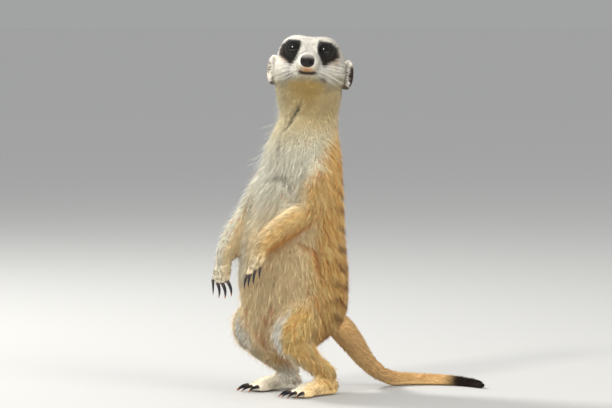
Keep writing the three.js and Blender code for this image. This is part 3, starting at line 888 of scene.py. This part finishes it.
def ear_rim(places, sign, fine):
    """The pale hair on an ear's upper and outer edge; the right ear's hair hides most of the ear."""
    _, forward, up = ((places - mirrored(EAR_PLACE, sign)) / [6, 7.6, 13]).T
    rim = np.maximum(ramp(up, 0.4, 0.8), ramp(0.4 * up - forward, 0.5, 0.9))
    hair = (0.85 - 0.75 * ramp(fine, -0.2, 0.5)) * (sign < 0) * ramp(up, -0.9, -0.4)
    return np.maximum(rim, hair) * ramp(forward, -0.5, 0.1)


def along_tail(points):
    """How far down the tail each point is, from 0 to 1."""
    gaps, alongs = zip(*[segment(points, start, end) for start, end in zip(TAIL_ROUTE, TAIL_ROUTE[1:])])
    nearest = np.argmin(gaps, axis=0)
    lengths = norm(np.diff(TAIL_ROUTE, axis=0))
    starts = np.concatenate([[0], np.cumsum(lengths)])
    along = np.array(alongs)[nearest, np.arange(len(points))]
    return (starts[nearest] + along * lengths[nearest]) / starts[-1]


# ---- the coat ----

def scatter(points, triangles, density, generator):
    """Roots spread evenly over the skin, density of them to the square millimetre."""
    a, b, c = (points[triangles[:, i]] for i in range(3))
    area = norm(np.cross(b - a, c - a)) / 2
    ends = np.cumsum(area * density)
    count = int(ends[-1])
    spots = (np.arange(count) + generator.uniform(0, 1, count)) * ends[-1] / count
    chosen = np.minimum(np.searchsorted(ends, spots), len(triangles) - 1)
    r, s = np.sqrt(generator.uniform(0, 1, count)), generator.uniform(0, 1, count)
    return chosen, np.stack([1 - r, r * (1 - s), r * s], axis=1)


def grow(roots, depth, length, rise, swing, steps):
    """Walks each tuft's middle line over the skin. Returns its places, ways and normals."""
    def upward(places):
        return slope(lambda p: skin_distance(p, depth), places)

    place = roots
    lines, ways, tops = [], [], []
    for step in range(steps + 1):
        top = upward(place)
        way = flow(place)
        way = unit(way - dot(way, top)[:, None] * top)
        way = way * np.cos(swing)[:, None] + np.cross(top, way) * np.sin(swing)[:, None]
        for rows, row in ((lines, place), (ways, way), (tops, top)):
            rows.append(row)
        if step < steps:
            place = place + way * (length / steps)[:, None]
            wanted = depth * rise * ((step + 1) / steps) ** 0.8
            place = place + (wanted - skin_distance(place, depth))[:, None] * upward(place)
    return np.stack(lines, 1), np.stack(ways, 1), np.stack(tops, 1)


def lock_faces(rings):
    """Triangles of one closed three-sided lock with that many rings and a tip."""
    faces = [(0, 2, 1)]
    for low in range(0, (rings - 1) * 3, 3):
        for corner in range(3):
            after = (corner + 1) % 3
            faces += [(low + corner, low + after, low + 3 + after),
                      (low + corner, low + 3 + after, low + 3 + corner)]
    last = (rings - 1) * 3
    faces += [(last + corner, last + (corner + 1) % 3, rings * 3) for corner in range(3)]
    return np.array(faces)


FLOOR_GAP = 0.12  # between the floor and the lowest hair or claw
PATCH_SIZE = 0.003  # a tuft's place on the OFBake map
RING_TURN = 2.4  # between the rosette's rings, radians


def make_locks(lines, ways, tops, count, spread, width, pinch, uneven, generator):
    """The closed locks of each tuft, gathered towards its tip: points (tufts, count, corners, 3)."""
    tufts, stations = lines.shape[:2]
    rings = stations - 1
    sides = np.cross(tops, ways)
    angle = generator.uniform(0, 2 * math.pi, (tufts, count))
    radius = np.sqrt(generator.uniform(0.02, 1, (tufts, count))) * spread[:, None]
    across, along = radius * np.cos(angle), radius * np.sin(angle)
    reach = generator.uniform(1 - uneven, 1.0, (tufts, count))[..., None]
    high = generator.uniform(-0.35, 0.1, (tufts, count)) * norm(lines[:, -1] - lines[:, 0])[:, None] * 0.25
    wide = width[:, None] * generator.uniform(0.7, 1.3, (tufts, count))
    points = np.empty((tufts, count, rings * 3 + 1, 3))
    for station in range(stations):
        share = station / rings
        before = lines[:, max(station - 1, 0), None]
        side, way, top = (axis[:, station, None] for axis in (sides, ways, tops))
        centre = before + (lines[:, station, None] - before) * reach
        centre = centre + side * (across * (1 - pinch * share))[..., None]
        centre = centre + way * along[..., None] + top * (high * share)[..., None]
        if station == rings:
            points[:, :, -1] = centre
            continue
        slim = (wide * (1 - 0.4 * share))[..., None]
        for corner in range(3):
            turn = 2 * math.pi * corner / 3 + math.pi / 2
            points[:, :, station * 3 + corner] = (
                centre + side * (slim * math.cos(turn)) + top * (slim * 0.7 * math.sin(turn)))
    points[..., 2] = np.maximum(points[..., 2], FLOOR_GAP)
    return points


def rosette(rings):
    """A lock's corners on the OFBake map, round the tuft's own place."""
    spots = []
    for ring in range(rings):
        size = PATCH_SIZE / 2 * (1 - ring / (rings + 0.5))
        for corner in range(3):
            turn = 2 * math.pi * corner / 3 + RING_TURN * ring
            spots.append((size * math.cos(turn), size * math.sin(turn)))
    return np.array(spots + [(0, 0)])


OVERHANG = 10  # how far a bone's part of the map runs past its ends


def unwrap(points, regions):
    """Places of the skin on a flat sheet: along the body and round it, limb beside limb."""
    if regions == ["head"]:
        side, forward, up = in_head(points).T
        return stretch(np.stack([np.arctan2(side, -forward), up], 1))
    bones = [bone for bone in BONES if bone.region in regions]
    sides = [bone.region.split("_")[-1] for bone in bones]
    apart = len(regions) > 4  # then each part of a limb has a column of its own
    tags = [side + bone.region[:2] * apart for side, bone in zip(sides, bones)]
    columns = sorted({tag for tag, bone in zip(tags, bones) if "_" in bone.region}) or ["all"]
    owner = np.argmin([segment(points, bone.start, bone.end)[0] for bone in bones], axis=0)
    sheet, column_of, reach = np.zeros((len(points), 2)), np.zeros(len(points), int), 0.0
    for number, bone in enumerate(bones):
        mine = owner == number
        axis, away = unit(bone.end - bone.start), points[mine] - bone.start
        first, length = unit(np.cross(axis, [0.3, 1.0, 0.2])), np.linalg.norm(bone.end - bone.start)
        if number and sides[number] != sides[number - 1]:
            reach = 0.0
        sheet[mine, 0] = np.arctan2(away @ np.cross(axis, first), away @ first)
        sheet[mine, 1] = reach + np.clip(away @ axis, -OVERHANG, length + OVERHANG)
        reach += length
        column_of[mine] = columns.index(tags[number]) if tags[number] in columns else 0
    for column in range(len(columns)):
        mine = column_of == column
        if mine.any():
            sheet[mine] = stretch(sheet[mine])
    sheet[:, 0] = (column_of + sheet[:, 0] * 0.98 + 0.01) / len(columns)
    return sheet


def stretch(sheet):
    """The sheet's places spread over the unit square."""
    low, high = sheet.min(0), sheet.max(0)
    return (sheet - low) / np.maximum(high - low, 1e-6)


class Skin:
    """The skin's mesh and what the coat needs to know of each of its points."""

    def __init__(self):
        self.points, self.triangles, self.depth = skin_mesh()
        self.weights = shares(self.points)
        self.normals = vertex_normals(self.points, self.triangles)
        self.tint, self.rust = markings(self.points, self.weights, self.normals)
        self.length = coat_length(self.points, self.weights)
        self.middles = self.points[self.triangles].mean(1)
        parts = np.stack(list(region_shares(self.weights).values()), 1)
        # a little chance mixes neighbouring regions, so that their coats meet without a line
        stray = np.random.default_rng(5).uniform(0, 1.5, (len(self.triangles), len(REGIONS)))
        self.region = np.array(REGIONS)[np.argmax(parts[self.triangles].sum(1) + stray, axis=1)]


def coat_length(points, weights):
    """How long the hair is at each point: short on the face, round the eyes and in the folds."""
    length = ruled(weights, [bone.length for bone in BONES])
    places = in_head(points)
    length = np.minimum(length, np.interp(norm(points - NOSE_TIP), [6, 25, 50, 95], [1.6, 3.0, 4.2, 10]))
    length = mix(length, 1.3, 1 - ramp(from_eyes(places), EYE_RADIUS + 1.5, EYE_RADIUS + 7))
    at_mouth = (1 - ramp(from_mouth(places), 1.2, 3.5)) * (1 - ramp(np.abs(places[:, 0]), 9, 13))
    length = mix(length, 0.9, at_mouth)
    parting, *others = near_folds(points, 1.3)
    return length * (1 - 0.65 * parting) * (1 - 0.4 * np.max(others, axis=0))


def clearance(points):
    """Below zero inside either eye's opening or the nose."""
    places = in_head(points)
    clear = [np.where(eye.around(places)[2] > 0, eye.opening(places), 9) for eye in EYES.values()]
    return np.min(clear + [ellipsoid(places - NOSE_PLACE, np.array(NOSE_SIZE) + 0.3)], axis=0)


def add_locks(name, slot, points, roots, regions, colours):
    """A piece of the locks with these corners (tufts, locks, corners, 3), whose roots place it on the map."""
    tufts, locks, each = points.shape[:3]
    rings = each // 3
    faces = lock_faces(rings)[None] + (np.arange(tufts * locks) * each)[:, None, None]
    sheet = PATCH_SIZE + unwrap(roots, regions) * (1 - 2 * PATCH_SIZE)
    patches = np.broadcast_to(sheet[:, None, None] + rosette(rings), (tufts, locks, each, 2))
    colours = np.broadcast_to(colours, points.shape)
    piece = make_mesh(name, points.reshape(-1, 3), faces.reshape(-1, 3), colours.reshape(-1, 3),
                      patches.reshape(-1, 2))
    place_piece(piece, slot, COAT)


def add_coat(skin, name, slot, chosen, regions, density, locks, seed, steps=1, width=0.16, spread=0.7,
             pinch=0.4, rise=(0.7, 1.05), swing=6.5, uneven=0.4, shade=(0.92, 1.08), longer=1.0):
    """A piece of the coat over the chosen triangles: tufts to the square millimetre, and locks to each."""
    generator = np.random.default_rng(1000 + seed)
    triangles = skin.triangles[chosen]
    picked, share = scatter(skin.points, triangles, density, generator)
    corners_of = triangles[picked]

    def read(values):
        """The skin's values at the tufts' roots."""
        return (values[corners_of] * (share[..., None] if values.ndim > 1 else share)).sum(1)

    clear = clearance(read(skin.points)) > 0.3
    corners_of, share = corners_of[clear], share[clear]
    roots, depth, length, tint = (read(row) for row in (skin.points, skin.depth, skin.length, skin.tint))
    count = len(roots)
    rusty = generator.uniform(0, 1, count) < read(skin.rust)
    tint = np.where(rusty[:, None], mix(tint, RUST, generator.uniform(0.35, 0.9, (count, 1))), tint)
    length = length * longer * generator.uniform(0.8, 1.15, count)
    lean = np.radians(swing) * (generator.normal(0, 0.8, count) + 1.3 * MIDDLE_NOISE.at(roots)
                                + 0.7 * FINE_NOISE.at(roots))
    high = generator.uniform(*rise, count)
    lines, ways, tops = grow(roots - unit(read(skin.normals)) * 0.25, depth, length, high, lean, steps)
    scale = np.clip(length / length.mean(), 0.5, 1.3)
    points = make_locks(lines, ways, tops, locks, spread * scale, width * scale, pinch, uneven, generator)
    along = np.concatenate([np.repeat(np.arange(steps) / steps, 3), [1.0]])
    tuft = generator.normal(1, 0.05, (count, 1, 1, 1))
    lock = generator.normal(1, 0.045, (count, locks, 1, 1))
    bright = tuft * (1 + 0.05 * FINE_NOISE.at(roots))[:, None, None, None] * lock
    # darker at the root and lighter at the tip: partly the hairs' own ticking, partly painted shade deep in
    # the coat
    bright = bright * mix(*shade, along)[:, None]
    colours = np.clip(tint[:, None, None] * bright, 0, 0.95)
    add_locks(name, slot, points, roots, regions, colours)


def add_coats(skin):
    region = skin.region
    up, aside = skin.middles[:, 2], np.abs(facing(skin.middles))
    head, neck, tail = (region == name for name in ("head", "neck", "tail"))
    face, high = head & (in_head(skin.middles)[:, 1] > 10), up >= 145
    trunk, pale, behind = np.isin(region, TRUNK), aside < 72, aside >= 125

    def both(*parts):
        names = [f"{part}_{side}" for side in SIDES for part in parts]
        return np.isin(region, names), names

    (ears, ear_names), (paws, paw_names) = both("ear"), both("hand", "foot")
    (arms, arm_names), (legs, leg_names) = both(*ARM), both(*LEG)
    chest_front = np.isin(region, ["chest", "neck"]) & (aside < 80) & (up > 150) & (up < 250)
    fine = {"spread": 0.5, "pinch": 0.3}
    single = {"steps": 2, "uneven": 0.2, "pinch": 0.2, "spread": 1.0}  # long hairs that stand out
    # name, slot, where, regions, tufts to the square millimetre, locks to a tuft, seed, and the locks' shape
    for *row, shape in [
        ("coat_face", "face_fur", face, ["head"], 2.5, 4, 1,
         {**fine, "width": 0.15, "spread": 0.4, "rise": (0.4, 1.0), "swing": 8}),
        ("coat_head", "face_fur", head & ~face, ["head"], 1.3, 4, 2, {"width": 0.18, "spread": 0.5}),
        ("coat_ears", "ear_fur", ears, ear_names, 2.2, 3, 3, {**fine, "width": 0.15, "rise": (0.4, 1.0)}),
        ("coat_neck", "pale_fur", neck, ["neck"], 1.9, 4, 4,
         {"width": 0.13, "spread": 0.5, "rise": (0.5, 0.95), "swing": 6}),
        ("coat_chest", "pale_fur", trunk & pale & high, TRUNK, 0.97, 6, 5,
         {"spread": 0.6, "rise": (0.6, 1.0)}),
        ("coat_belly", "pale_fur", trunk & pale & ~high, TRUNK, 0.62, 6, 6, {}),
        ("coat_shoulders", "tawny_fur", trunk & ~pale & high, TRUNK, 0.54, 6, 7, {"width": 0.19}),
        ("coat_flanks", "tawny_fur", trunk & ~pale & ~behind & ~high, TRUNK, 0.66, 6, 8, {"width": 0.18}),
        ("coat_back", "tawny_fur", trunk & behind & ~high, TRUNK, 0.5, 6, 9, {"width": 0.22}),
        ("coat_arms", "tawny_fur", arms, arm_names, 0.8, 6, 10, {"spread": 0.6}),
        ("coat_legs", "tawny_fur", legs, leg_names, 0.54, 6, 11, {"width": 0.18}),
        ("coat_paws", "pale_fur", paws, paw_names, 1.25, 4, 12, {**fine, "rise": (0.5, 1.3), "swing": 14}),
        ("coat_tail", "tail_tip_fur", tail, ["tail"], 0.7, 5, 13,
         {"width": 0.15, "spread": 0.5, "rise": (0.6, 0.95), "swing": 2.5, "shade": (0.96, 1.04)}),
        ("guard_hairs_front", "pale_fur", (trunk | neck) & (aside < 110), TRUNK + ["neck"], 0.05, 2, 14,
         {**single, "width": 0.075, "rise": (1.1, 2.3), "swing": 10, "shade": (0.98, 1.08), "longer": 1.7}),
        ("long_hairs_chest", "pale_fur", chest_front, ["chest", "neck"], 0.009, 2, 17,
         {**single, "steps": 3, "width": 0.1, "spread": 0.25, "pinch": 0.3, "rise": (1.6, 3.4), "swing": 12,
          "shade": (0.95, 1.03), "longer": 1.5}),
        ("guard_hairs_back", "tawny_fur", trunk & (aside >= 110), TRUNK, 0.03, 2, 15,
         {**single, "width": 0.11, "rise": (1.0, 1.5), "swing": 9, "shade": (0.95, 1.1), "longer": 1.4}),
        ("guard_hairs_limbs", "pale_fur", arms | legs, arm_names + leg_names, 0.07, 2, 16,
         {**single, "width": 0.1, "spread": 0.8, "rise": (1.2, 2.2), "swing": 11, "shade": (0.98, 1.1),
          "longer": 1.4}),
    ]:
        add_coat(skin, *row, **shape)


def add_whiskers():
    """Long pale hairs from the muzzle, cheeks and ears."""
    generator = np.random.default_rng(50)
    uniform = generator.uniform
    rows = []  # root, way, length and radius, in the head's frame
    for sign in SIDES.values():
        for row in range(4):  # on the muzzle
            for column in range(5):
                root = (sign * (7.4 + 0.8 * column), 37.5 - 2.4 * column, -8 - 1.7 * row)
                way = (sign, 0.15 - 0.25 * column, 0.16 - 0.14 * row)
                rows.append((root, way, uniform(16, 30), 0.11))
        for _ in range(9):  # on the cheek
            root = (sign * uniform(19, 25), uniform(10, 20), uniform(-16, 2))
            rows.append((root, (sign, 0.1, uniform(-0.5, 0.1)), uniform(8, 14), 0.09))
        for _ in range(120):  # round the ear's rim
            turn = uniform(-1.2, 1.4)
            root = (sign * 31, -5 + 5.5 * math.cos(turn), -6 + 11 * math.sin(turn))
            way = (sign * 0.9, 0.9 + uniform(-0.3, 0.3), uniform(-0.7, 0.3))
            rows.append((root, way, uniform(3.5, 7), 0.16))
    roots, ways, lengths, radius = (np.array(column) for column in zip(*rows))
    roots = settle(from_head(roots), np.full(len(rows), LID_COAT), 3)
    ways = unit(from_head(ways) - HEAD)
    steps = 4
    lines, directions = [roots], [ways]
    for _ in range(steps):
        ways = unit(ways + np.array([0, 0, -0.06]))
        lines.append(lines[-1] + ways * (lengths / steps)[:, None])
        directions.append(ways)
    tops = unit(np.cross(np.cross(ways, [0, 0, 1]), ways))
    points = make_locks(np.stack(lines, 1), np.stack(directions, 1), np.stack([tops] * (steps + 1), 1),
                        1, 0 * radius, radius, 0, 0.01, generator)
    add_locks("whiskers", "pale_fur", points, roots, ["head"], WHITE)


# ---- materials ----

def principled(name, **sockets):
    """A material with its Principled shader, whose plain numbers are set on its own sockets."""
    material = bpy.data.materials.new(name)
    material.use_nodes = True
    shader = material.node_tree.nodes["Principled BSDF"]
    for socket, value in sockets.items():
        shader.inputs[socket.replace("_", " ")].default_value = value
    return material, shader


def link(owner, output, target):
    owner.node_tree.links.new(output, target)


def add_node(owner, kind, **settings):
    """A shader node of a material or world, with its inputs or its own settings set."""
    node = owner.node_tree.nodes.new("ShaderNode" + kind)
    for name, value in settings.items():
        if name in node.inputs:
            node.inputs[name].default_value = value
        else:
            setattr(node, name, value)
    return node


def tinted(name, grain, contrast, relief=None, **sockets):
    """A material in the tint attribute's colour, broken up and perhaps raised by a fine grain."""
    material, shader = principled(name, **sockets)
    tint = add_node(material, "VertexColor", layer_name="tint")
    noise = add_node(material, "TexNoise", Scale=grain, Detail=3.0, Roughness=0.6)
    place = add_node(material, "TexCoord")
    link(material, place.outputs["Object"], noise.inputs["Vector"])
    spread = add_node(material, "MapRange")
    spread.inputs["To Min"].default_value = 1 - contrast
    spread.inputs["To Max"].default_value = 1 + contrast
    link(material, noise.outputs["Fac"], spread.inputs["Value"])
    product = add_node(material, "VectorMath", operation="SCALE")
    link(material, tint.outputs["Color"], product.inputs[0])
    link(material, spread.outputs["Result"], product.inputs["Scale"])
    link(material, product.outputs["Vector"], shader.inputs["Base Color"])
    if relief:
        raised = add_node(material, "Bump", Strength=relief[0], Distance=relief[1])
        link(material, noise.outputs["Fac"], raised.inputs["Height"])
        link(material, raised.outputs["Normal"], shader.inputs["Normal"])
    return material


COAT = tinted("coat", 900, 0.10, Roughness=0.62, Specular_IOR_Level=0.18, Sheen_Weight=0.06,
              Sheen_Roughness=0.4)
CLAW = tinted("claw", 600, 0.08, Roughness=0.28, Specular_IOR_Level=0.5)
SKIN = tinted("skin", 700, 0.16, (0.35, 0.0006), Roughness=0.75, Specular_IOR_Level=0.25)
LEATHER = tinted("nose_leather", 1500, 0.12, (0.4, 0.0003), Roughness=0.42, Specular_IOR_Level=0.3)

EYE_STOPS = [(0.0, colour(4, 3, 3)), (0.40, colour(5, 4, 3)), (0.45, colour(15, 9, 7)),
             (0.76, colour(20, 12, 9)), (0.86, colour(12, 8, 7)), (1.0, colour(16, 11, 10))]


def eye_material(side):
    """Colour by distance from the line of gaze, from the pupil outwards."""
    material, shader = principled(f"eye_{side}", Roughness=0.2, Coat_Weight=0.9, Coat_Roughness=0.02,
                                  Specular_IOR_Level=0.1)
    place = add_node(material, "TexCoord")
    flat = add_node(material, "VectorMath", operation="MULTIPLY")
    scale = 1 / (EYE_RADIUS * MM)
    flat.inputs[1].default_value = (scale, scale, 0)
    link(material, place.outputs["Object"], flat.inputs[0])
    far = add_node(material, "VectorMath", operation="LENGTH")
    link(material, flat.outputs["Vector"], far.inputs[0])
    rings = add_node(material, "ValToRGB")
    link(material, far.outputs["Value"], rings.inputs["Fac"])
    elements = rings.color_ramp.elements
    while len(elements) < len(EYE_STOPS):
        elements.new(0.5)
    for element, (position, shade) in zip(elements, EYE_STOPS):
        element.position = position
        element.color = (*shade, 1)
    link(material, rings.outputs["Color"], shader.inputs["Base Color"])
    return material


# ---- pieces ----

def place_piece(piece, slot, material, *replaced):
    """Gives a piece its material and hangs it on the root, hiding the nodes that it replaces; its slot is not
    used.
    """
    piece.data.materials.append(material)
    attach(piece, "root")
    if replaced:
        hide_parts(*replaced)


def add_skin(skin):
    """The skin, with painted shade under the coat, deepest where the coat over it is long."""
    tint = skin.tint * mix(0.93, 0.78, ramp(skin.length, 3, 6))[:, None]
    place_piece(make_mesh("skin", skin.points, skin.triangles, tint), "tawny_fur", SKIN, *FLESH)


def ball(radius, rings=48, around=64):
    """Points and triangles of a ball, whose radius is a function of its unit directions."""
    polar = np.linspace(0, math.pi, rings + 1)[:, None]
    turn = np.arange(around)[None] * 2 * math.pi / around
    ways = np.stack([np.sin(polar) * np.cos(turn), np.sin(polar) * np.sin(turn),
                     np.cos(polar) * np.ones_like(turn)], -1).reshape(-1, 3)
    ring, step = np.meshgrid(np.arange(rings), np.arange(around), indexing="ij")
    a, b = ring * around + step, ring * around + (step + 1) % around
    c, d = a + around, b + around
    upper, lower = np.stack([a, c, b], -1)[1:], np.stack([b, c, d], -1)[:-1]
    triangles = np.concatenate([upper.reshape(-1, 3), lower.reshape(-1, 3)])
    # each pole is one shared point
    triangles = np.where(triangles < around, 0, triangles)
    triangles = np.where(triangles >= rings * around, rings * around, triangles)
    used, numbers = np.unique(triangles, return_inverse=True)
    return (ways * radius(ways)[:, None])[used], numbers.reshape(-1, 3)


def add_eye(side):
    """A ball with a raised clear-looking cornea, turned to its gaze."""
    eye = EYES[side]

    def radius(ways):
        polar = np.arccos(np.clip(ways[:, 2], -1, 1))
        return EYE_RADIUS - 0.12 + 0.28 * np.exp(-(polar / 0.62) ** 4)

    piece = make_mesh(f"eyeball_{side}", *ball(radius))
    centre = from_head(eye.centre)
    gaze = Vector(from_head(eye.centre + eye.gaze) - centre)
    turn = gaze.to_track_quat("Z", "Y").to_matrix().to_4x4()
    piece.matrix_world = Matrix.Translation(Vector(centre * MM)) @ turn
    place_piece(piece, "eye", eye_material(side), f"eye_{side}")


# the nostril's hole and the end of its slit, from the nose's middle, in its half sizes
NOSTRIL, SLIT_END = (0.44, 0.7, -0.2), (0.86, 0.42, -0.34)
# a painted highlight on the nose's top, and painted shade in its nostrils
NOSE_TOP_HIGHLIGHT, NOSE_LOW, NOSTRIL_SHADE = colour(134, 129, 124), colour(27, 22, 20), colour(2, 1, 1)


def add_nose():
    """The leather: a low dome with two nostrils that curl out to its sides, and a groove below."""
    ways, triangles = ball(lambda ways: np.ones(len(ways)), 64, 96)
    dents = np.zeros(len(ways))
    for sign in SIDES.values():
        hole, slit = (unit(mirrored(place, sign)) for place in (NOSTRIL, SLIT_END))
        dents = np.maximum(dents, bump(segment(ways, hole, slit)[0], 0.24))
        dents = np.maximum(dents, bump(norm(ways - hole), 0.36))
    groove = bump(ways[:, 0], 0.08) * ramp(ways[:, 2], 0.1, -0.2) * ramp(ways[:, 1], 0, 0.5)
    reach = 1 - 0.26 * dents - 0.07 * groove
    shape = np.sign(ways) * np.abs(ways) ** np.array([0.86, 0.9, 0.86])
    places = np.array(NOSE_PLACE) + shape * reach[:, None] * (np.array(NOSE_SIZE) - 0.1)
    pebble = 1 + 0.08 * FINE_NOISE.at(ways * 60 + HEAD)
    # lighter towards the top as a painted highlight
    tint = mix(NOSE_LOW, NOSE_TOP_HIGHLIGHT, ramp(ways[:, 2], 0.0, 0.75)[:, None]) * pebble[:, None]
    # painted shade in the nostrils' holes
    tint = mix(tint, NOSTRIL_SHADE, ramp(dents, 0.35, 0.8)[:, None])
    piece = make_mesh("nose_leather", from_head(places), triangles, np.clip(tint, 0, 1))
    if dot(vertex_normals(places, triangles), ways).mean() < 0:
        piece.data.flip_normals()
    place_piece(piece, "nose", LEATHER, "nose")


CLAW_BASE, CLAW_MIDDLE, CLAW_TIP = colour(70, 58, 54), colour(26, 25, 31), colour(176, 106, 50)


def claw_mesh(name, start):
    """A curved, tapered claw along one of the frame's, from the end nearest to start."""
    middles, tip = slices(name, start, 4)
    root, rings, around = middles[0], 12, 12
    from_root = norm(POINTS[name] - root)
    near = from_root[from_root < 1.6]  # the frame's corners round the root give the thickness
    thick = min(near.max(), 1.7) if len(near) else 1.2
    way = unit(tip - root)
    lift = unit(np.cross(np.cross(way, [0, 0, 1]), way))
    side = np.cross(way, lift)
    length, buried = np.linalg.norm(tip - root), 2.2
    points, tint = [], []
    for share in np.arange(rings) / (rings - 1):
        arch = lift * 0.13 * length * 4 * share * (1 - share)
        centre = root - way * buried + way * (length + buried) * share + arch
        size = thick * 1.1 * (1 - share) ** 0.62 + 0.06
        shade = mix(CLAW_BASE, CLAW_MIDDLE, ramp(share, 0.12, 0.34))
        for turn in np.arange(around) * 2 * math.pi / around:
            points.append(centre + side * size * 0.72 * math.cos(turn) + lift * size * math.sin(turn))
            tint.append(mix(shade, CLAW_TIP, 0.8 * ramp(share, 0.7, 0.97)))
    triangles = []
    for ring in range(0, (rings - 1) * around, around):
        for step in range(around):
            a, b = ring + step, ring + (step + 1) % around
            triangles += [(a, b, b + around), (a, b + around, a + around)]
    last = (rings - 1) * around
    for step in range(1, around - 1):
        triangles += [(0, step + 1, step), (last, last + step, last + step + 1)]
    points = np.array(points)
    points[:, 2] = np.maximum(points[:, 2], FLOOR_GAP)
    return points, np.array(triangles), np.array(tint)


def add_claws(limb):
    """One paw's four claws, as one piece."""
    names = claws_of(limb)
    points, triangles, tint = zip(*[claw_mesh(name, middle(limb)) for name in names])
    starts = np.cumsum([0] + [len(part) for part in points])
    triangles = np.concatenate([part + start for part, start in zip(triangles, starts)])
    piece = make_mesh(f"{limb}_claws", np.concatenate(points), triangles, np.concatenate(tint))
    place_piece(piece, "claw", CLAW, *names)


# ---- stage ----

FLOOR_REACH = 300.0  # metres
FLOOR_COLOUR = (0.40, 0.395, 0.38, 1)
WORLD_LIGHT, SEEN_BACKGROUND = (0.95, 0.97, 1.0, 1), (0.362, 0.366, 0.366, 1)
LIT_HEIGHT = 0.2  # metres above the floor, where the lights point


def add_area_light(name, azimuth, elevation, far, size, watts, tint, glints=False):
    """A round soft light, far metres off at that azimuth and elevation, seen in reflections if it glints."""
    data = bpy.data.lights.new(name, "AREA")
    data.shape, data.size, data.energy, data.color = "DISK", size, watts, tint
    light = bpy.data.objects.new(name, data)
    light.visible_glossy = glints
    away = Vector(direction(azimuth, elevation)) * far
    light.location = Vector(STANCE * MM) + Vector((0, 0, LIT_HEIGHT)) + away
    light.rotation_euler = away.to_track_quat("Z", "Y").to_euler()
    bpy.context.scene.collection.objects.link(light)


def add_floor():
    mesh = bpy.data.meshes.new("floor")
    places = [(x * FLOOR_REACH, y * FLOOR_REACH, 0) for x, y in ((-1, -1), (1, -1), (1, 1), (-1, 1))]
    mesh.from_pydata(places, [], [(0, 1, 2, 3)])
    floor = bpy.data.objects.new("floor", mesh)
    bpy.context.scene.collection.objects.link(floor)
    mesh.materials.append(principled("floor", Base_Color=FLOOR_COLOUR, Roughness=0.9)[0])


def add_world():
    """A soft light from all round, which camera and glossy rays see as a plain background."""
    world = bpy.data.worlds.new("studio")
    bpy.context.scene.world = world
    world.use_nodes = True
    light = world.node_tree.nodes["Background"]
    light.inputs["Color"].default_value, light.inputs["Strength"].default_value = WORLD_LIGHT, 0.95
    seen = add_node(world, "Background", Color=SEEN_BACKGROUND)
    share, rays = add_node(world, "MixShader"), add_node(world, "LightPath")
    either = add_node(world, "Math", operation="MAXIMUM")
    link(world, rays.outputs["Is Camera Ray"], either.inputs[0])
    link(world, rays.outputs["Is Glossy Ray"], either.inputs[1])
    for socket, output in zip(share.inputs, (either.outputs[0], light.outputs[0], seen.outputs[0])):
        link(world, output, socket)
    link(world, share.outputs["Shader"], world.node_tree.nodes["World Output"].inputs["Surface"])


def add_stage():
    """A pale floor, the world's light and three soft lights."""
    add_floor()
    add_world()
    bpy.context.scene.view_settings.view_transform = "Standard"
    add_area_light("key", 10, 34, 2.4, 0.4, 33, (1.0, 0.98, 0.95), True)
    add_area_light("fill", 88, 24, 2.2, 1.2, 31, (1.0, 0.96, 0.88))
    add_area_light("rim", -75, 40, 2.0, 0.5, 56, (1.0, 1.0, 0.98))


def add_camera():
    data = bpy.data.cameras.new("camera")
    data.lens, data.sensor_width = 200, 36
    camera = bpy.data.objects.new("camera", data)
    camera.location = Vector(EYEPOINT * MM)
    camera.rotation_euler = Vector(BACK).to_track_quat("Z", "Y").to_euler()
    bpy.context.scene.collection.objects.link(camera)
    bpy.context.scene.camera = camera


# ---- the whole ----

skin = Skin()
add_skin(skin)
add_coats(skin)
add_whiskers()
for side in SIDES:
    add_eye(side)
for limb in LIMB_ENDS:
    add_claws(limb)
add_nose()
add_stage()
add_camera()
